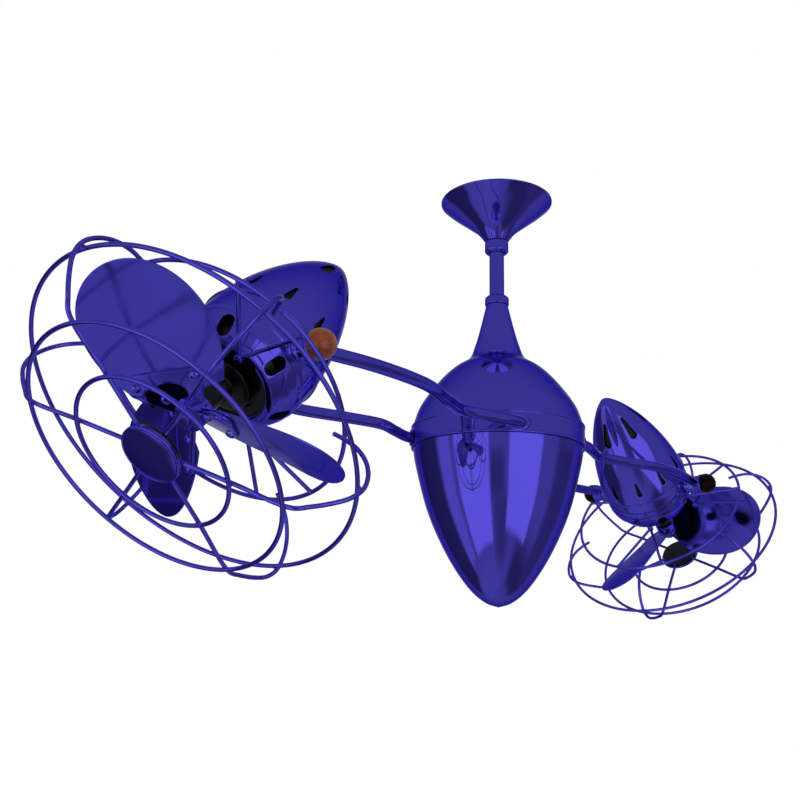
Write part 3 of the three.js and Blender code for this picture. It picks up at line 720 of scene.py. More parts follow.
@dataclass
class HangingGear(Assembly):
    """Canopy, its clamp collar and the rod."""

    canopy_radius: float = 70.0
    canopy_drop: float = 53.0
    wall: float = 1.5
    rod_radius: float = 9.2
    rod_bore: float = 6.5
    rod_top: float = -12.91
    rod_foot: float = -330.0
    collar_radius: float = 14.8
    collar_height: float = 16.0

    def canopy(self) -> Piece:
        """The spun trumpet, with a rolled edge at the ceiling and a foot turned in to the rod."""
        radius, drop = self.canopy_radius, self.canopy_drop
        outer = even_curve([
            (radius, -1.5), (0.83 * radius, -0.23 * drop), (0.543 * radius, -0.53 * drop),
            (0.347 * radius, -0.75 * drop), (self.collar_radius - 0.6, -drop)], 12)
        edge = eased([(radius - self.wall, 0), (radius, 0), outer[0], outer[1]], 0.5)
        inner = [(r - self.wall, z) for r, z in outer[::-1]]
        inner[0] = (self.rod_radius + 0.4, -drop)
        inner[1] = (self.rod_radius + 0.6, -drop + self.wall)
        return Bench.turned("canopy_spun", [*edge[:-1], *outer[1:], *inner[:2], *inner[4:]], 160)

    def collar(self) -> Piece:
        """The clamp collar under the canopy, rounded at its foot, with its grub screw."""
        top = -self.canopy_drop - GAP
        foot = top - self.collar_height
        bore, radius = self.rod_radius + GAP, self.collar_radius
        outline = eased([
            (bore, top - 4), (bore, top), (radius - 0.8, top), (radius, top - 2),
            (radius, foot + 2.5), (radius - 3, foot), (bore, foot + 3), (bore, top - 4.5)], 1.2)
        ring = Bench.turned("canopy_collar_turned", outline, 96)
        socket = Bench.turned("grub_hole", [(0, 9.5), (2.4, 9.5), (2.4, 20), (0, 20)], 24)
        Bench.place(socket, shift(z=(top + foot) / 2) @ turn_about("Z", 38) @ turn_about("Y", 90))
        ring = Bench.cut(ring, socket)
        screw = Bench.turned("grub_screw", [
            (0, 12.2), (1.1, 12.2), (1.1, 13.6), (2.0, 13.6), (2.25, 13.2), (2.25, 10.5),
            (0, 10.5)], 6)
        Bench.place(screw, shift(z=(top + foot) / 2) @ turn_about("Z", 38) @ turn_about("Y", 90))
        return Bench.join([ring, screw])

    def rod(self) -> Piece:
        """The drawn tube."""
        bore, radius = self.rod_bore, self.rod_radius
        outline = eased([
            (bore, self.rod_foot + 9), (bore, self.rod_top), (radius, self.rod_top),
            (radius, self.rod_foot), (bore, self.rod_foot), (bore, self.rod_foot + 8)], 0.6)
        return Bench.turned("downrod_drawn", outline, 96)

    def build(self, frame: Mapping[str, Mapping]) -> None:
        """Makes and dresses the hanging gear."""
        self.hang(self.canopy(), "canopy", MIRROR)
        self.hang(self.collar(), "canopy_collar", MIRROR)
        self.hang(self.rod(), "downrod", MIRROR)
        self.keep(frame, ("ceiling_bracket", "hanger_ball", "rod_nut"), STEEL)
        self.keep(frame, ("fixed_gear",), BRASS)


@dataclass
class ArmLine:
    """The bent line of an arm and the clamp cup at its end, for the side of +X."""

    reach: float = 409.0
    drop: float = 310.0
    exit_x: float = 72.05
    exit_width: float = 75.0
    pinch_width: float = 57.0
    bow: float = 88.0
    cup_middle: float = 77.0
    cup_radius: float = 13.5
    cup_length: float = 18.0
    tube_radius: float = 6.35
    sleeve_gap: float = 0.5

    def line(self, side: int, inset: float = 0.0) -> list[Triple]:
        """The arm's middle line on one side of X."""
        width = self.exit_width
        points = [
            (self.exit_x - 36 - inset, width), (self.exit_x - 12, width),
            (self.exit_x + 14, width - 1.3), (0.28 * self.reach, width - 9),
            (0.367 * self.reach, self.pinch_width), (0.475 * self.reach, self.pinch_width + 10.5),
            (0.62 * self.reach, self.bow - 2), (0.81 * self.reach, self.bow),
            (self.reach - self.cup_radius + 1, self.cup_middle + 1)]
        return bent_line([(x, side * y, -self.drop) for x, y in points], 10)

    def tube(self, name: str, side: int, radius: float, sides: int, inset: float = 0.0) -> Piece:
        """A bar of a radius along the arm."""
        return Bench.wire(name, self.line(side, inset), radius, sides)


@dataclass
class Body(Assembly):
    """Neck collar, upper shell, waist band and acorn shell."""

    radius: float = 102.0
    wall: float = 1.8
    neck_top: float = -126.0
    neck_collar_height: float = 12.0
    neck_radius: float = 13.4
    collar_radius: float = 14.8
    rod_radius: float = 9.2
    rim: float = -294.0
    band_height: float = 26.0
    band_radius: float = 104.0
    band_wall: float = 2.5
    acorn_length: float = 185.0
    tie_bore: float = 3.3
    band_screws: int = 3
    band_screw_turn: float = 36.0
    arms: ArmLine = field(default_factory=ArmLine)

    def neck_collar(self) -> Piece:
        """The turned collar on top of the neck."""
        bore, top, radius = self.rod_radius + 0.4, self.neck_top, self.collar_radius
        foot = top - self.neck_collar_height
        outline = eased([
            (bore, foot + 4), (bore, foot), (radius, foot), (radius, top - 3), (radius - 3, top),
            (bore, top), (bore, foot + 4.5)], 1.0)
        return Bench.turned("neck_collar_turned", outline, 96)

    def upper_shell(self) -> Piece:
        """The spun upper shell, from the slim neck to the round shoulder."""
        top = self.neck_top - self.neck_collar_height - GAP
        height = top - self.rim
        body, neck, bore = self.radius, self.neck_radius, self.rod_radius + 0.4
        outer = even_curve([(r, top - share * height) for r, share in (
            (neck, 0), (neck + 7.5, 0.2), (neck + 13.5, 0.335), (0.34 * body, 0.45),
            (0.535 * body, 0.54), (0.715 * body, 0.66), (0.915 * body, 0.845), (body, 1))], 14)
        inner = even_curve([(r, top - share * height) for r, share in (
            (body - self.wall, 1), (0.87 * body, 0.87), (0.66 * body, 0.7), (0.42 * body, 0.56),
            (bore, 0.3))], 6)
        lip = eased([outer[-2], outer[-1], inner[0], inner[1]], 0.5)
        mouth = eased([(bore, top - 2), (bore, top), outer[0], outer[1]], 0.6)
        return Bench.turned(
            "upper_shell_spun", [*mouth[:-1], *outer[1:-1], *lip[1:-1], *inner[1:]], 224)

    def band(self) -> Piece:
        """The waist band with a rolled edge above and below and a hole for each arm."""
        top, radius = self.rim - GAP, self.band_radius
        foot, bore = top - self.band_height, self.band_radius - self.band_wall
        outline = eased([
            (bore, foot + 9), (bore, foot), (radius - 0.1, foot), (radius - 0.1, foot + 2.6),
            (radius - 0.7, foot + 3.1), (radius - 0.7, top - 3.1), (radius - 0.1, top - 2.6),
            (radius - 0.1, top), (bore, top), (bore, foot + 9.5)], 0.7)
        band = Bench.turned("waist_band_rolled", outline, 288)
        clear = self.arms.tube_radius + self.arms.sleeve_gap
        for turn in (0, 180):
            for side in (1, -1):
                hole = self.arms.tube("arm_hole", side, clear, 24)
                band = Bench.cut(band, Bench.place(hole, turn_about("Z", turn)))
        screw = Bench.pan_head("band_screw", 2.7, 1.5)
        Bench.place(screw, shift(radius - 0.9, 0, (top + foot) / 2) @ turn_about("Y", 90))
        screws = Bench.ring_of(screw, self.band_screws, self.band_screw_turn)
        return Bench.join([band, screws])

    def acorn(self) -> Piece:
        """The spun acorn that closes the body below."""
        rim = self.rim - 2 * GAP - self.band_height
        body, bore = self.radius, self.tie_bore
        outer = even_curve([(r, rim - share * self.acorn_length) for r, share in (
            (body - 0.5, 0), (0.958 * body, 0.12), (0.835 * body, 0.378), (0.683 * body, 0.582),
            (0.505 * body, 0.76), (0.322 * body, 0.895), (0.15 * body, 0.973), (0, 1))], 14)
        inner = [(r, rim - share * self.acorn_length) for r, share in (
            (0, 0.965), (bore, 0.965), (bore, 0.93), (0.46 * body, 0.76), (0.73 * body, 0.47),
            (0.89 * body, 0.2), (body - 0.5 - self.wall, 0))]
        lip = eased([inner[-2], inner[-1], outer[0], outer[1]], 0.5)
        return Bench.turned("acorn_shell_spun", [*inner[:-1], *lip[1:-1], *outer[1:]], 224)

    def build(self, frame: Mapping[str, Mapping]) -> None:
        """Makes and dresses the body."""
        self.hang(self.neck_collar(), "neck_collar", MIRROR)
        self.hang(self.upper_shell(), "upper_shell", MIRROR)
        self.hang(self.band(), "band", MIRROR)
        self.hang(self.acorn(), "acorn_shell", MIRROR)
        self.keep(frame, ("arm_carrier", "drive_motor"), CASTING)
        self.keep(frame, ("main_bearing", "tie_rod"), STEEL)
        self.keep(frame, ("drive_pinion",), BRASS)


class Wing(Enum):
    """The two wings of the fan, with the way each lies along X."""

    RIGHT = 1
    LEFT = -1

    @property
    def label(self) -> str:
        """The wing's word in node names."""
        return self.name.lower()

    @property
    def turn(self) -> float:
        """The wing's turn about the rod from +X."""
        return 0.0 if self is Wing.RIGHT else 180.0

    def face(self, side: int) -> str:
        """Which face of the fan one side of the wing is on, front being -Y."""
        return "front" if side * self.value < 0 else "back"


@dataclass
class Arms(Assembly):
    """The two arms of one wing and the grommets where they leave the band."""

    wing: Wing = Wing.RIGHT
    shape: ArmLine = field(default_factory=ArmLine)
    band_radius: float = 104.0
    band_top: float = -294.3
    band_foot: float = -320.3
    grommet_wall: float = 2.6
    grommet_proud: float = 1.6

    def cup(self, side: int) -> Piece:
        """The clamp cup, a short barrel with a rim at either end, bored for the stud."""
        shape = self.shape
        start = shape.cup_middle - shape.cup_length / 2
        end, rim = start + shape.cup_length, shape.cup_radius
        waist, bore = rim - 1.5, STUD_BORE
        outline = eased([
            (bore, start + 6), (bore, start), (rim, start), (rim, start + 3), (waist, start + 4.4),
            (waist, end - 4.4), (rim, end - 3), (rim, end), (bore, end), (bore, start + 6.5)], 0.8)
        cup = Bench.turned("cup", outline, 72)
        return Bench.place(cup, shift(shape.reach, 0, -shape.drop) @ sideways(side))

    def arm(self, side: int) -> Piece:
        """One bent tube with its cup."""
        name = f"{self.wing.label}_{self.wing.face(side)}_arm_bent"
        tube = self.shape.tube(name, side, self.shape.tube_radius, 32)
        bore = Bench.pin("bore", STUD_BORE, 60, 94)
        Bench.place(bore, shift(self.shape.reach, 0, -self.shape.drop) @ sideways(side))
        arm = Bench.cut(Bench.cut(tube, self.cup(side), Cut.JOIN), bore)
        return Bench.place(arm, turn_about("Z", self.wing.turn))

    def grommet(self, side: int) -> Piece:
        """The oval collar on the band round an arm."""
        shape, inner = self.shape, self.band_radius + GAP
        outer = inner + self.grommet_proud
        sleeve = Bench.turned(f"{self.wing.label}_{self.wing.face(side)}_grommet_pressed", [
            (inner, self.band_foot), (outer, self.band_foot), (outer, self.band_top),
            (inner, self.band_top)], 288)
        clear = shape.tube_radius + shape.sleeve_gap
        grommet = Bench.cut(sleeve, shape.tube("outline", side, clear + self.grommet_wall, 32),
                            Cut.KEEP)
        grommet = Bench.cut(grommet, shape.tube("arm_hole", side, clear, 32))
        Bench.soften(grommet, 0.45, 3, 50)
        return Bench.place(grommet, turn_about("Z", self.wing.turn))

    def build(self) -> None:
        """Makes and dresses the wing's arms."""
        for side in (1, -1):
            label = f"{self.wing.label}_{self.wing.face(side)}"
            self.hang(self.arm(side), f"{label}_arm", MIRROR)
            self.hang(self.grommet(side), f"{label}_grommet", MIRROR)


@dataclass(frozen=True)
class SlotRow:
    """A row of slots round a rear cover, its place a share of the cover's length."""

    count: int
    start: float
    share: float
    length: float
    width: float


@dataclass
class Head(Assembly):
    """One fan head: housing, clamps, rotor and guard, in the head's own frame."""

    wing: Wing = Wing.RIGHT
    tilt: float = 40.1
    blade_turn: float = 23.6
    frame_turn: float = -1.5
    guard_turn: float = -2.0
    screw_turn: float = 24.0
    screw_plane: float = -5.0
    # The right head's knobs default to the painted shade copy of the wood.
    knob_wood: TurnedWood = PAINTED_SHADE_WOOD
    reach: float = 409.0
    drop: float = 310.0
    radius: float = 62.0
    wall: float = 1.8
    seam: float = -19.0
    cover_length: float = 155.0
    cover_fall: float = 1.65
    cover_nose: float = 1.4
    lip_front: float = 34.0
    lip_radius: float = 48.0
    lip_width: float = 7.0
    nose_front: float = 29.0
    nose_bore: float = 29.5
    liner_inset: float = 4.6
    slots: tuple[SlotRow, ...] = (SlotRow(10, 18, 0.17, 23, 7), SlotRow(6, 6, 0.72, 36, 11.5))
    vents: int = 6
    vent_radius: float = 6.5
    vent_stretch: float = 4.0
    clamp_face: float = 68.0
    cup_length: float = 18.0
    knob_radius: float = 14.0

    def place(self, piece: Piece) -> Piece:
        """Puts a piece from the head's frame into the fan's."""
        way, lean = self.wing.value, math.radians(self.tilt)
        axes = Matrix((
            (-way * math.sin(lean), 0, way * math.cos(lean)),
            (0, way, 0),
            (-math.cos(lean), 0, -math.sin(lean)))).to_4x4()
        return Bench.place(piece, shift(way * self.reach, 0, -self.drop) @ axes)

    def mount(self, piece: Piece, node: str, finish: Finish) -> Piece:
        """Places, dresses and hangs a piece for one of this head's nodes."""
        return self.hang(self.place(piece), f"{self.wing.label}_{node}", finish)

    # housing

    def cover_radius(self, share: float) -> float:
        """Radius of the rear cover at a share of its length."""
        return self.radius * max(1 - share**self.cover_fall, 0)**(1 / self.cover_nose)

    def slot_row(self, row: SlotRow) -> Piece:
        """Cutters for a row of teardrop slots, narrow ends towards the point."""
        length, width, share = row.length, row.width, row.share
        wide, narrow = width / 2, width / 5
        drop = [polar(wide, 180 + 15 * i)[:2] for i in range(13)]
        drop = [(x, y + wide - length / 2) for x, y in drop]
        drop += [(narrow, length / 2 - 1), (narrow * 0.6, length / 2),
                 (-narrow * 0.6, length / 2), (-narrow, length / 2 - 1)]
        fall = self.cover_radius(share - 0.04) - self.cover_radius(share + 0.04)
        lean = math.degrees(math.atan2(fall, 0.08 * self.cover_length))
        cutter = Bench.plate("slot", drop, 24)
        Bench.place(cutter, (
            shift(self.cover_radius(share), 0, self.seam - share * self.cover_length)
            @ turn_about("Y", lean) @ turn_about("Z", -90) @ turn_about("X", -90)
            @ shift(z=-12)))
        return Bench.ring_of(cutter, row.count, row.start)

    def rear_cover(self) -> Piece:
        """The pointed bell with a bead round its rim and two rows of slots."""
        name = f"{self.wing.label}_rear_cover_spun"
        length, seam, radius = self.cover_length, self.seam, self.radius
        shares = [0.02 + 0.98 * (i / 40)**0.9 for i in range(41)]
        outer = [(self.cover_radius(s), seam - s * length) for s in shares]
        outer[-1] = (0, seam - length)
        bead = eased([
            (radius - self.wall, seam - 1), (radius - self.wall, seam), (radius + 1.5, seam),
            (radius + 1.5, seam - 3), (radius - 0.1, seam - 3.4), outer[0]], 1.1, 5)
        inner = [(r - self.wall, z + 0.8) for r, z in outer[1:36]]
        roof = (0, seam - 0.93 * length)
        shell = Bench.turned(name, [roof, *reversed(inner), *bead[:-1], *outer], 200)
        shell = Bench.cut(shell, Bench.join([self.slot_row(row) for row in self.slots]))
        return Bench.soften(shell, 0.35, 2, 45)

    def liner(self) -> Piece:
        """A near-black inner bell behind the cover's slots: painted shade that stands in for the
        dark inside of the cover.
        """
        shares = [0.03 + 0.83 * i / 24 for i in range(25)]
        outer = [(self.cover_radius(s) - self.liner_inset, self.seam - s * self.cover_length)
                 for s in shares]
        inner = [(r - 1, z + 0.6) for r, z in outer]
        end = outer[-1][1] - 2
        return Bench.turned(f"{self.wing.label}_rear_cover_liner", [
            (0, end + 1), *reversed(inner), *outer, (0, end)], 96)

    def front_shell(self) -> Piece:
        """Straight wall, vented shoulder, rolled lip, set-back nose wall and pivot bosses."""
        name = f"{self.wing.label}_front_shell_pressed"
        radius, lip, back = self.radius, self.lip_radius, self.seam + GAP
        nose_back = self.nose_front - 2
        outer = eased([
            (radius - self.wall, back + 1), (radius - self.wall, back), (radius, back),
            (radius, 5), (radius - 1.4, 6.5), (radius - 1.6, 12), (radius - 4.8, 20),
            (lip, self.lip_front), (lip - self.lip_width, self.lip_front),
            (lip - self.lip_width, self.nose_front), (self.nose_bore, self.nose_front),
            (self.nose_bore, nose_back), (lip - 1, nose_back),
            (radius - self.wall - 2, 12), (radius - self.wall, back + 1.2)], 1.6, 5)
        shell = Bench.turned(name, outer, 192)
        for side in (1, -1):
            boss = Bench.turned("boss", eased([
                (0, self.radius - 5), (9.8, self.radius - 5), (9.8, self.radius + 0.4),
                (9, self.radius + 1.6), (9, self.clamp_face - GAP), (0, self.clamp_face - GAP)],
                0.7), 64)
            shell = Bench.cut(shell, Bench.place(boss, sideways(side)), Cut.JOIN)
        bore = Bench.pin("bore", STUD_BORE, -70, 70)
        shell = Bench.cut(shell, Bench.place(bore, sideways(1)))
        shell = Bench.cut(shell, self.vent_cutters())
        Bench.soften(shell, 0.6, 3, 48)
        shell.data.materials.append(MIRROR.material())
        shell.data.materials.append(HUB.material())
        inside = (lip - self.lip_width - 0.5) * MM
        for face in shell.data.polygons:
            x, y, z = face.center
            if math.hypot(x, y) < inside and z > (nose_back - 1) * MM and abs(face.normal.z) > 0.5:
                face.material_index = 1
        return Bench.join([shell, self.side_screws()])

    def side_screws(self) -> Piece:
        """Small screws round the straight wall that hold the front shell to its cover."""
        screw = Bench.pan_head("side_screw", 2.3, 1.2)
        screw.data.materials.append(MIRROR.material())
        Bench.place(screw, shift(self.radius - 0.1, 0, self.screw_plane) @ turn_about("Y", 90))
        return Bench.ring_of(screw, 4, self.screw_turn)

    def vent_cutters(self) -> Piece:
        """Cutters for the round-ended vents in the shoulder."""
        opening = [
            (x, y + end * self.vent_stretch) for end in (1, -1) for x, y, _ in (
                polar(self.vent_radius, 90 - 90 * end + 15 * i) for i in range(13))]
        slope = math.degrees(math.atan2(12, 21))
        cutter = Bench.plate("vent", opening, 20)
        Bench.place(cutter, (
            shift(self.radius - 7, 0, (13 + self.lip_front) / 2) @ turn_about("Y", -slope)
            @ turn_about("Z", 90) @ turn_about("X", 90) @ shift(z=-10)))
        return Bench.ring_of(cutter, self.vents, 180 / self.vents)

    def knob(self, side: int) -> Piece:
        """The turned wooden ball, faced where it bears on the cup and bored for the stud."""
        name = f"{self.wing.label}_{self.wing.face(side)}_knob_turned"
        ball, face = self.knob_radius, self.clamp_face + self.cup_length + GAP
        middle, bore = face + ball / 3, STUD_BORE
        start = math.degrees(math.asin(-1 / 3))
        arc = [polar(ball, start + (90 - start) * i / 28) for i in range(29)]
        outer = [(x, middle + y) for x, y, _ in arc]
        outer[-1] = (0, middle + ball)
        foot = eased([(bore, face), (outer[0][0] - 0.2, face), outer[1], outer[2]], 1.2)
        turned = Bench.turned(
            name, [(0, face + 9.5), (bore, face + 9.5), *foot[:-1], *outer[2:]], 96)
        return Bench.place(turned, sideways(side))

    def build_housing(self, frame: Mapping[str, Mapping]) -> None:
        """Makes and dresses the housing and its clamps."""
        label = self.wing.label
        self.mount(self.rear_cover(), "rear_cover", MIRROR)
        # The liner is painted shade: a dark sheet inside the cover where there is only shade.
        self.add(self.place(self.liner()), f"{label}_rear_cover", PAINTED_SHADE_LINER)
        self.mount(self.front_shell(), "front_shell", MIRROR)
        for side in (1, -1):
            face = self.wing.face(side)
            # Knob finish: real wood on the left head, painted shade on the right head.
            self.mount(self.knob(side), f"{face}_knob", self.knob_wood)
            self.keep(frame, (f"{label}_{face}_pivot_stud",), STEEL)
        self.keep(frame, (f"{label}_motor",), CASTING)


@dataclass
class Rotor:
    """Hub, irons and blades of a head."""

    head: Head
    sweep: float = 143.6
    root: float = 17.0
    width: float = 104.0
    pitch: float = 31.3
    skew: float = 5.9
    twist: float = -5.5
    plane: float = 78.8
    thickness: float = 1.4
    camber: float = 4.0
    iron_thickness: float = 2.4
    hub_radius: float = 14.0
    count: int = 3
    screws: tuple[Pair, ...] = ((39, 33.6), (20.8, 15), (31.4, -16.5))

    def blade_place(self, degrees: float) -> Matrix:
        """The frame of a blade at a turn: x out along it, y across it."""
        return turn_about("Z", degrees) @ shift(z=self.plane) @ turn_about("X", self.pitch)

    def paddle_point(self, u: float, v: float) -> Triple:
        """A point of the paddle's middle sheet, from a square's two coordinates."""
        half, skew = (self.sweep + 6) / 2, math.radians(self.skew)
        out, across = u * math.sqrt(1 - v * v / 2), v * math.sqrt(1 - u * u / 2)
        along, wide = half * out, self.width / 2 * across * (1 + 0.18 * out)
        x = self.sweep - half + along * math.cos(skew) - wide * math.sin(skew)
        y = along * math.sin(skew) + wide * math.cos(skew)
        outer = max(out + 0.2, 0) / 1.2
        outer = outer * outer * (3 - 2 * outer) if outer < 1 else 1.0
        lift = self.camber * outer * (across * across - 0.3)
        return x, y, lift + y * math.tan(math.radians(self.twist) * outer)

    def blade(self, name: str) -> Piece:
        """One wide paddle, flat at the iron, dished and twisted towards its tip."""
        Bench.clear()
        bpy.ops.mesh.primitive_grid_add(x_subdivisions=72, y_subdivisions=56, size=2)
        paddle = Bench.named(name)
        for vertex in paddle.data.vertices:
            vertex.co = Vector(self.paddle_point(vertex.co.x, vertex.co.y)) * MM
        with Bench.editing(paddle):
            bpy.ops.mesh.bisect(
                plane_co=(self.root * MM, 0, 0), plane_no=(-1, 0, 0), clear_outer=True)
        Bench.modify(paddle, "SOLIDIFY", thickness=self.thickness * MM, offset=0.0)
        Bench.tidy(paddle)
        return Bench.soften(paddle, 0.45, 3, 50)

    def irons(self) -> Piece:
        """Hub ring with a hexagon nose and three pitched irons with their screws."""
        bottom, top = self.plane - 9, self.plane + 10
        ring = Bench.turned(f"{self.head.wing.label}_blade_irons_cut", eased([
            (0, bottom), (self.hub_radius, bottom), (self.hub_radius, top), (0, top)], 1.2), 96)
        nose = Bench.turned("nose", [
            (0, top - 1), (8, top - 1), (8, top + 6.8), (6.6, top + 8), (0, top + 8)], 6)
        base = self.thickness / 2 + GAP
        outline = [(2, -10), (30, -25), (37, -22), (51, 34), (45, 41), (34, 41), (4, 12)]
        iron = Bench.plate("iron", outline, self.iron_thickness, 3.5)
        Bench.soften(iron, 0.5, 3, 50)
        Bench.place(iron, shift(z=base))
        parts = [iron]
        for index, (x, y) in enumerate(self.screws):
            head = Bench.pan_head(f"iron_screw_{index}", 4.4, 2.4)
            parts.append(Bench.place(head, shift(x, y, base + self.iron_thickness)))
        arm = Bench.place(Bench.join(parts), self.blade_place(0))
        arms = Bench.ring_of(arm, self.count, self.head.blade_turn)
        return Bench.join([ring, nose, arms])

    def hub(self) -> Piece:
        """Shaft, wide back disc and the tapered boss that carries the irons."""
        front, disk = self.plane - 9.3, self.head.nose_bore - 2.5
        outline = eased([
            (0, -53), (4, -53), (4, self.head.nose_front + 1), (disk, self.head.nose_front + 1),
            (disk, 38), (19, 39.2), (13, 40), (10, front), (0, front)], 1.5, 5)
        return Bench.turned(f"{self.head.wing.label}_rotor_hub_turned", outline, 96)

    def build(self) -> None:
        """Makes and dresses the rotor."""
        head = self.head
        label = head.wing.label
        head.mount(self.hub(), "rotor_hub", HUB)
        head.mount(self.irons(), "blade_irons", MIRROR)
        pattern = self.blade("paddle")
        for index in range(self.count):
            turn = head.blade_turn + 360 * index / self.count
            blade = Bench.copy(
                pattern, f"{label}_blade_{index + 1}_pressed", self.blade_place(turn))
            head.mount(blade, f"blade_{index + 1}", BLADE)
        bpy.data.objects.remove(pattern)


@dataclass
class Guard:
    """The wire guard of a head and its badge."""

    head: Head
    wire: float = 2.0
    ribs: int = 6
    spoke_plane: float = 134.2
    small_ring: float = 74.0
    large_ring: float = 122.5
    wide_ring: float = 161.5
    wide_plane: float = 90.0
    rear_ring: float = 123.7
    rear_plane: float = 42.0
    strut_spread: float = 16.0
    badge_radius: float = 28.0
    plate_thickness: float = 5.0

    @property
    def crossing(self) -> float:
        """Middle to middle of two wires that cross."""
        return 2 * self.wire + GAP

    def rib(self) -> Piece:
        """One rib with the welds where it crosses the rings."""
        reach = self.wide_ring + self.crossing + 0.7
        tail, plane = self.rear_plane + self.crossing, self.spoke_plane
        points = [
            (8, plane), (self.small_ring, plane), (self.large_ring + 6, plane),
            (reach - 27, plane - 7.5), (reach - 13, plane - 20), (reach - 4, self.wide_plane + 13),
            (reach, self.wide_plane), (reach - 3, self.wide_plane - 14),
            (reach - 12, self.wide_plane - 28), (self.rear_ring + 16, tail + 4.5),
            (self.rear_ring, tail - 0.4), (self.rear_ring - 9, tail - 1.8)]
        rib = Bench.wire("rib", bent_line([(r, 0, z) for r, z in points], 9), self.wire, 12)
        half = self.crossing / 2
        welds = [
            (self.small_ring, plane + half, (1.5, 2.3, 1.2)),
            (self.large_ring, plane + half, (1.5, 2.3, 1.2)),
            (self.wide_ring + half, self.wide_plane, (1.2, 2.3, 1.5)),
            (self.rear_ring, self.rear_plane + half, (1.5, 2.3, 1.2))]
        beads = [Bench.bead(f"weld_{i}", Vector((r, 0, z)), size)
                 for i, (r, z, size) in enumerate(welds)]
        return Bench.join([rib, *beads])

    def rib_star(self) -> Piece:
        """Six ribs on their round centre plate."""
        half = self.plate_thickness / 2
        centre = Bench.turned(f"{self.head.wing.label}_guard_ribs_welded", eased([
            (0, self.spoke_plane - half), (self.badge_radius - 3, self.spoke_plane - half),
            (self.badge_radius - 3, self.spoke_plane + half), (0, self.spoke_plane + half)],
            1.0), 96)
        star = MIRROR.dress(Bench.ring_of(self.rib(), self.ribs, self.head.guard_turn))
        return Bench.join([HUB.dress(centre), star])

    def rear_frame(self) -> Piece:
        """The rear ring on three V-shaped pairs of struts, each pair on a round foot."""
        label, spread_by = self.head.wing.label, self.strut_spread
        foot_radius = self.head.lip_radius - self.head.lip_width / 2
        foot_top = self.head.lip_front + 8.5
        foot = Bench.turned("foot", eased([
            (0, self.head.lip_front + GAP), (4, self.head.lip_front + GAP),
            (4, foot_top), (0, foot_top)], 0.8), 32)
        Bench.place(foot, shift(x=foot_radius))
        legs = [
            Bench.wire(f"leg_{turn}", [
                Vector((foot_radius, 0, foot_top - 2.6)),
                polar(self.rear_ring, turn, self.rear_plane)], self.wire, 12)
            for turn in (spread_by, -spread_by)]
        beads = [Bench.bead(f"weld_{turn}", polar(self.rear_ring - 0.8, turn, self.rear_plane),
                            (2.6, 2.6, 2.3)) for turn in (spread_by, -spread_by)]
        struts = Bench.ring_of(Bench.join([foot, *legs, *beads]), 3, self.head.frame_turn)
        ring = Bench.hoop(f"{label}_guard_rear_frame_welded", self.rear_ring, self.rear_plane,
                          self.wire)
        return Bench.join([ring, struts])

    def badge(self) -> Piece:
        """The plain domed plate at the middle, with a fine bead round its edge."""
        back = self.spoke_plane + self.plate_thickness / 2 + GAP
        radius = self.badge_radius
        dome = [(radius - 2.6 - 25.4 * i / 12, back + 5.8 - 2.2 * (1 - i / 12)**2)
                for i in range(12)]
        outline = [
            *eased([(0, back), (radius, back), (radius, back + 3.2), (radius - 0.9, back + 3.9),
                    (radius - 2.2, back + 3.5), dome[0]], 0.5), *dome[1:], (0, back + 5.8)]
        return Bench.turned(f"{self.head.wing.label}_badge_domed", outline, 128)

    def build(self) -> None:
        """Makes and dresses the guard."""
        head, label = self.head, self.head.wing.label
        ring_plane = self.spoke_plane + self.crossing
        head.mount(self.rib_star(), "guard_ribs", MIRROR)
        for word, radius, plane in (
            ("small", self.small_ring, ring_plane), ("large", self.large_ring, ring_plane),
            ("wide", self.wide_ring, self.wide_plane),
        ):
            hoop = Bench.hoop(f"{label}_guard_{word}_ring_welded", radius, plane, self.wire)
            head.mount(hoop, f"guard_{word}_ring", MIRROR)
        head.mount(self.rear_frame(), "guard_rear_frame", MIRROR)
        head.mount(self.badge(), "badge", MIRROR)


# ---------------------------------------------------------------- studio


@dataclass(frozen=True)
class Card:
    """A card or soft box in the studio, which shows only in reflections. Angles in degrees."""

    bearing: float
    half_width: float
    low: float
    high: float
    level: float
    softness: float = 2.0


@dataclass(frozen=True)
class Lamp:
    """A soft square lamp, in metres and watts."""

    name: str
    place: Triple
    size: float
    energy: float


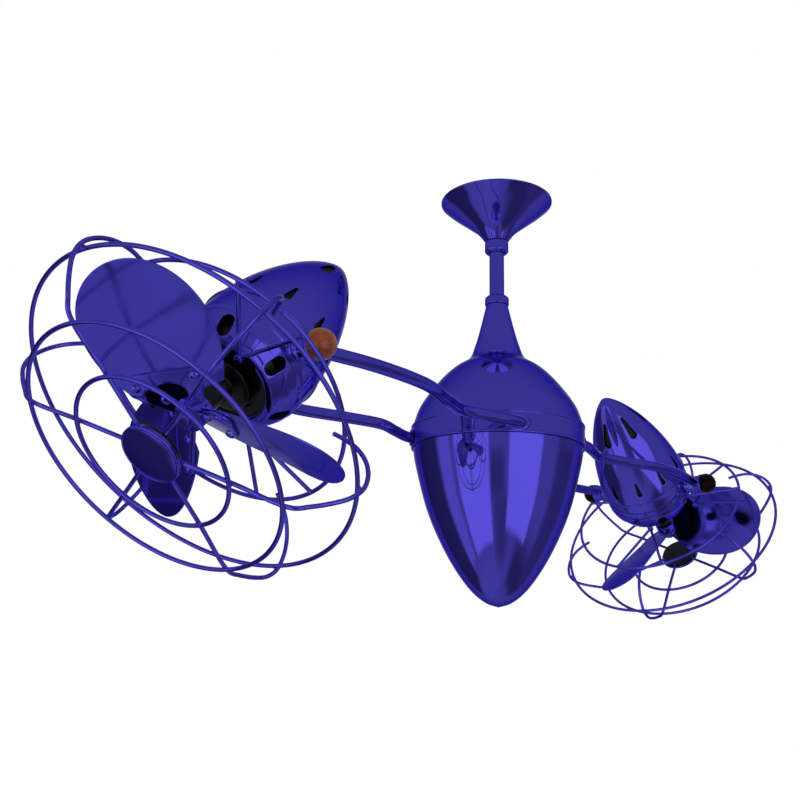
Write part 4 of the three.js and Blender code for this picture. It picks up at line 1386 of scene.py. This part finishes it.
@dataclass
class Studio:
    """Camera, floor, lamps and the room that the metal mirrors."""

    camera_place: Triple = (-1.0018, -0.6558, -0.5659)
    bearing: float = 38.87
    pitch: float = 14.35
    roll: float = 1.1
    focal_share: float = 1015 / 800
    sensor: float = 36.0
    floor_height: float = -1.6
    fan_middle: Triple = (0, 0, -0.3)
    lamps: tuple[Lamp, ...] = (
        Lamp("key_lamp", (-1.9, -2.4, 1.5), 1.8, 42.0),
        Lamp("fill_lamp", (1.8, -1.6, 0.6), 1.6, 12.0),
    )
    ambient: float = 0.62
    mirrored_level: float = 0.41
    cards: tuple[Card, ...] = (
        Card(150, 75, -95, -58, 0.5, 14),  # pale floor to the left of the camera
        Card(297, 40, -75, -42, 0.14, 12),  # dark floor to its right
        Card(102, 21, -52, 8, 0.12, 4),  # black card, far left
        Card(136, 9, -46, 4, 0.66, 3),  # narrow box between it and the left soft box
        Card(318, 16, -45, 4, 0.2, 6),  # black card, far right
        Card(212, 9, -26, -13, 0.2, 5),  # dark gap between the soft boxes
        Card(220, 11, -60, -24, 0.24, 9),  # the gap's foot, a little to the right
        Card(177, 24, -48, 6, 1.02, 2.5),  # left soft box
        Card(252, 23, -42, 6, 1.02, 2.5),  # right soft box
    )

    def camera(self) -> None:
        """The camera at the photograph's place, level but for a slight roll."""
        turn, rise, roll = (math.radians(a) for a in (self.bearing, self.pitch, self.roll))
        ahead = Vector((
            math.cos(turn) * math.cos(rise), math.sin(turn) * math.cos(rise), math.sin(rise)))
        right = Vector((math.sin(turn), -math.cos(turn), 0))
        up = right.cross(ahead)
        across = right * math.cos(roll) + up * math.sin(roll)
        upward = up * math.cos(roll) - right * math.sin(roll)
        data = bpy.data.cameras.new("camera")
        data.sensor_width, data.lens = self.sensor, self.sensor * self.focal_share
        data.clip_start, data.clip_end = 0.01, 100
        camera = bpy.data.objects.new("camera", data)
        bpy.context.scene.collection.objects.link(camera)
        pose = Matrix((across, upward, -ahead)).transposed().to_4x4()
        pose.translation = self.camera_place
        camera.matrix_world = pose
        bpy.context.scene.camera = camera

    def light(self, lamp: Lamp) -> None:
        """Sets a lamp up, aimed at the middle of the fan and not mirrored."""
        data = bpy.data.lights.new(lamp.name, "AREA")
        data.shape, data.size, data.energy = "SQUARE", lamp.size, lamp.energy
        light = bpy.data.objects.new(lamp.name, data)
        bpy.context.scene.collection.objects.link(light)
        light.location, light.rotation_mode = lamp.place, "QUATERNION"
        light.rotation_quaternion = (
            Vector(self.fan_middle) - Vector(lamp.place)).to_track_quat("-Z", "Y")
        light.visible_glossy = False

    def floor(self) -> None:
        """A pale floor well below the fan, which keeps its shadow and isn't mirrored."""
        Bench.clear()
        bpy.ops.mesh.primitive_plane_add(size=24, location=(0, 0, self.floor_height))
        floor = Bench.named("floor")
        with Bench.editing(floor):
            bpy.ops.mesh.subdivide(number_cuts=3)
        paper = bpy.data.materials.new("pale_floor")
        tree = NodeTree(paper)
        path = tree.node("ShaderNodeLightPath")
        seen = Signal(tree, path.outputs["Is Camera Ray"])
        matt = tree.node("ShaderNodeBsdfDiffuse", None, {"Color": (0.86, 0.86, 0.86, 1)})
        glow = tree.node("ShaderNodeEmission", None, {
            "Color": (1, 1, 1, 1), "Strength": seen * 0.6})
        both = tree.node("ShaderNodeAddShader", None, {0: matt.outputs[0], 1: glow.outputs[0]})
        tree.node("ShaderNodeOutputMaterial", None, {"Surface": both.outputs[0]})
        floor.data.materials.append(paper)
        floor.visible_glossy = False

    def room(self) -> None:
        """The white room: plain for the eye and for matt surfaces, with cards for the metal."""
        world = bpy.data.worlds.new("room")
        bpy.context.scene.world = world
        tree = NodeTree(world)
        path = tree.node("ShaderNodeLightPath")
        seen = Signal(tree, path.outputs["Is Camera Ray"])
        mirrored = Signal(tree, path.outputs["Is Glossy Ray"])
        through = Signal(tree, path.outputs["Is Transmission Ray"])
        rest = 1 - seen - mirrored - through
        strength = seen + through + mirrored * self.mirrored_room(tree) + rest * self.ambient
        light = tree.node("ShaderNodeBackground", None, {
            "Color": (1, 1, 1, 1), "Strength": strength})
        tree.node("ShaderNodeOutputWorld", None, {"Surface": light.outputs[0]})

    def mirrored_room(self, tree: NodeTree) -> Signal:
        """Brightness of the room by direction: one plain level with the cards before it."""
        way = tree.node("ShaderNodeTexCoord").outputs["Generated"]
        height = Signal(tree, tree.node(
            "ShaderNodeSeparateXYZ", None, {0: way}).outputs["Z"])
        flat = tree.node("ShaderNodeVectorMath", {"operation": "MULTIPLY"}, {
            0: way, 1: (1, 1, 0)})
        level = tree.node("ShaderNodeVectorMath", {"operation": "NORMALIZE"}, {
            0: flat.outputs[0]}).outputs[0]
        room: Signal | float = self.mirrored_level
        for card in self.cards:
            facing = Signal(tree, tree.node("ShaderNodeVectorMath", {
                "operation": "DOT_PRODUCT"}, {0: level, 1: polar(1, card.bearing)}
                ).outputs["Value"])
            soft = card.softness
            across = facing.eased(*(
                math.cos(math.radians(card.half_width + off)) for off in (soft, -soft)))
            above, below = (
                height.eased(*(
                    math.sin(math.radians(max(edge + off, -90))) for off in (-soft, soft)))
                for edge in (card.low, card.high))
            share = across * above * (1 - below)
            room = room * (1 - share) + share * card.level
        return room

    def build(self) -> None:
        """Sets the studio up."""
        self.camera()
        self.floor()
        self.room()
        for lamp in self.lamps:
            self.light(lamp)
        bpy.context.scene.view_settings.view_transform = "Standard"


def main() -> None:
    """Builds the fan's looks in order."""
    logging.basicConfig(level=logging.INFO, format="%(name)s: %(message)s")
    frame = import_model()
    groups = frame["record"]["behaviour"]["bodies"]
    bodies = {node: body for body, nodes in groups.items() for node in nodes}
    HangingGear(bodies).build(frame)
    Body(bodies).build(frame)
    for wing in Wing:
        Arms(bodies, wing).build()
    heads = (
        Head(bodies, Wing.RIGHT),
        Head(bodies, Wing.LEFT, tilt=46.4, blade_turn=55.5, frame_turn=-1.0, guard_turn=-2.8,
             screw_turn=61.0, screw_plane=-8.5, knob_wood=WOOD),
    )
    for head in heads:
        head.build_housing(frame)
        Rotor(head).build()
        Guard(head).build()
    Studio().build()


if __name__ == "__main__":
    main()
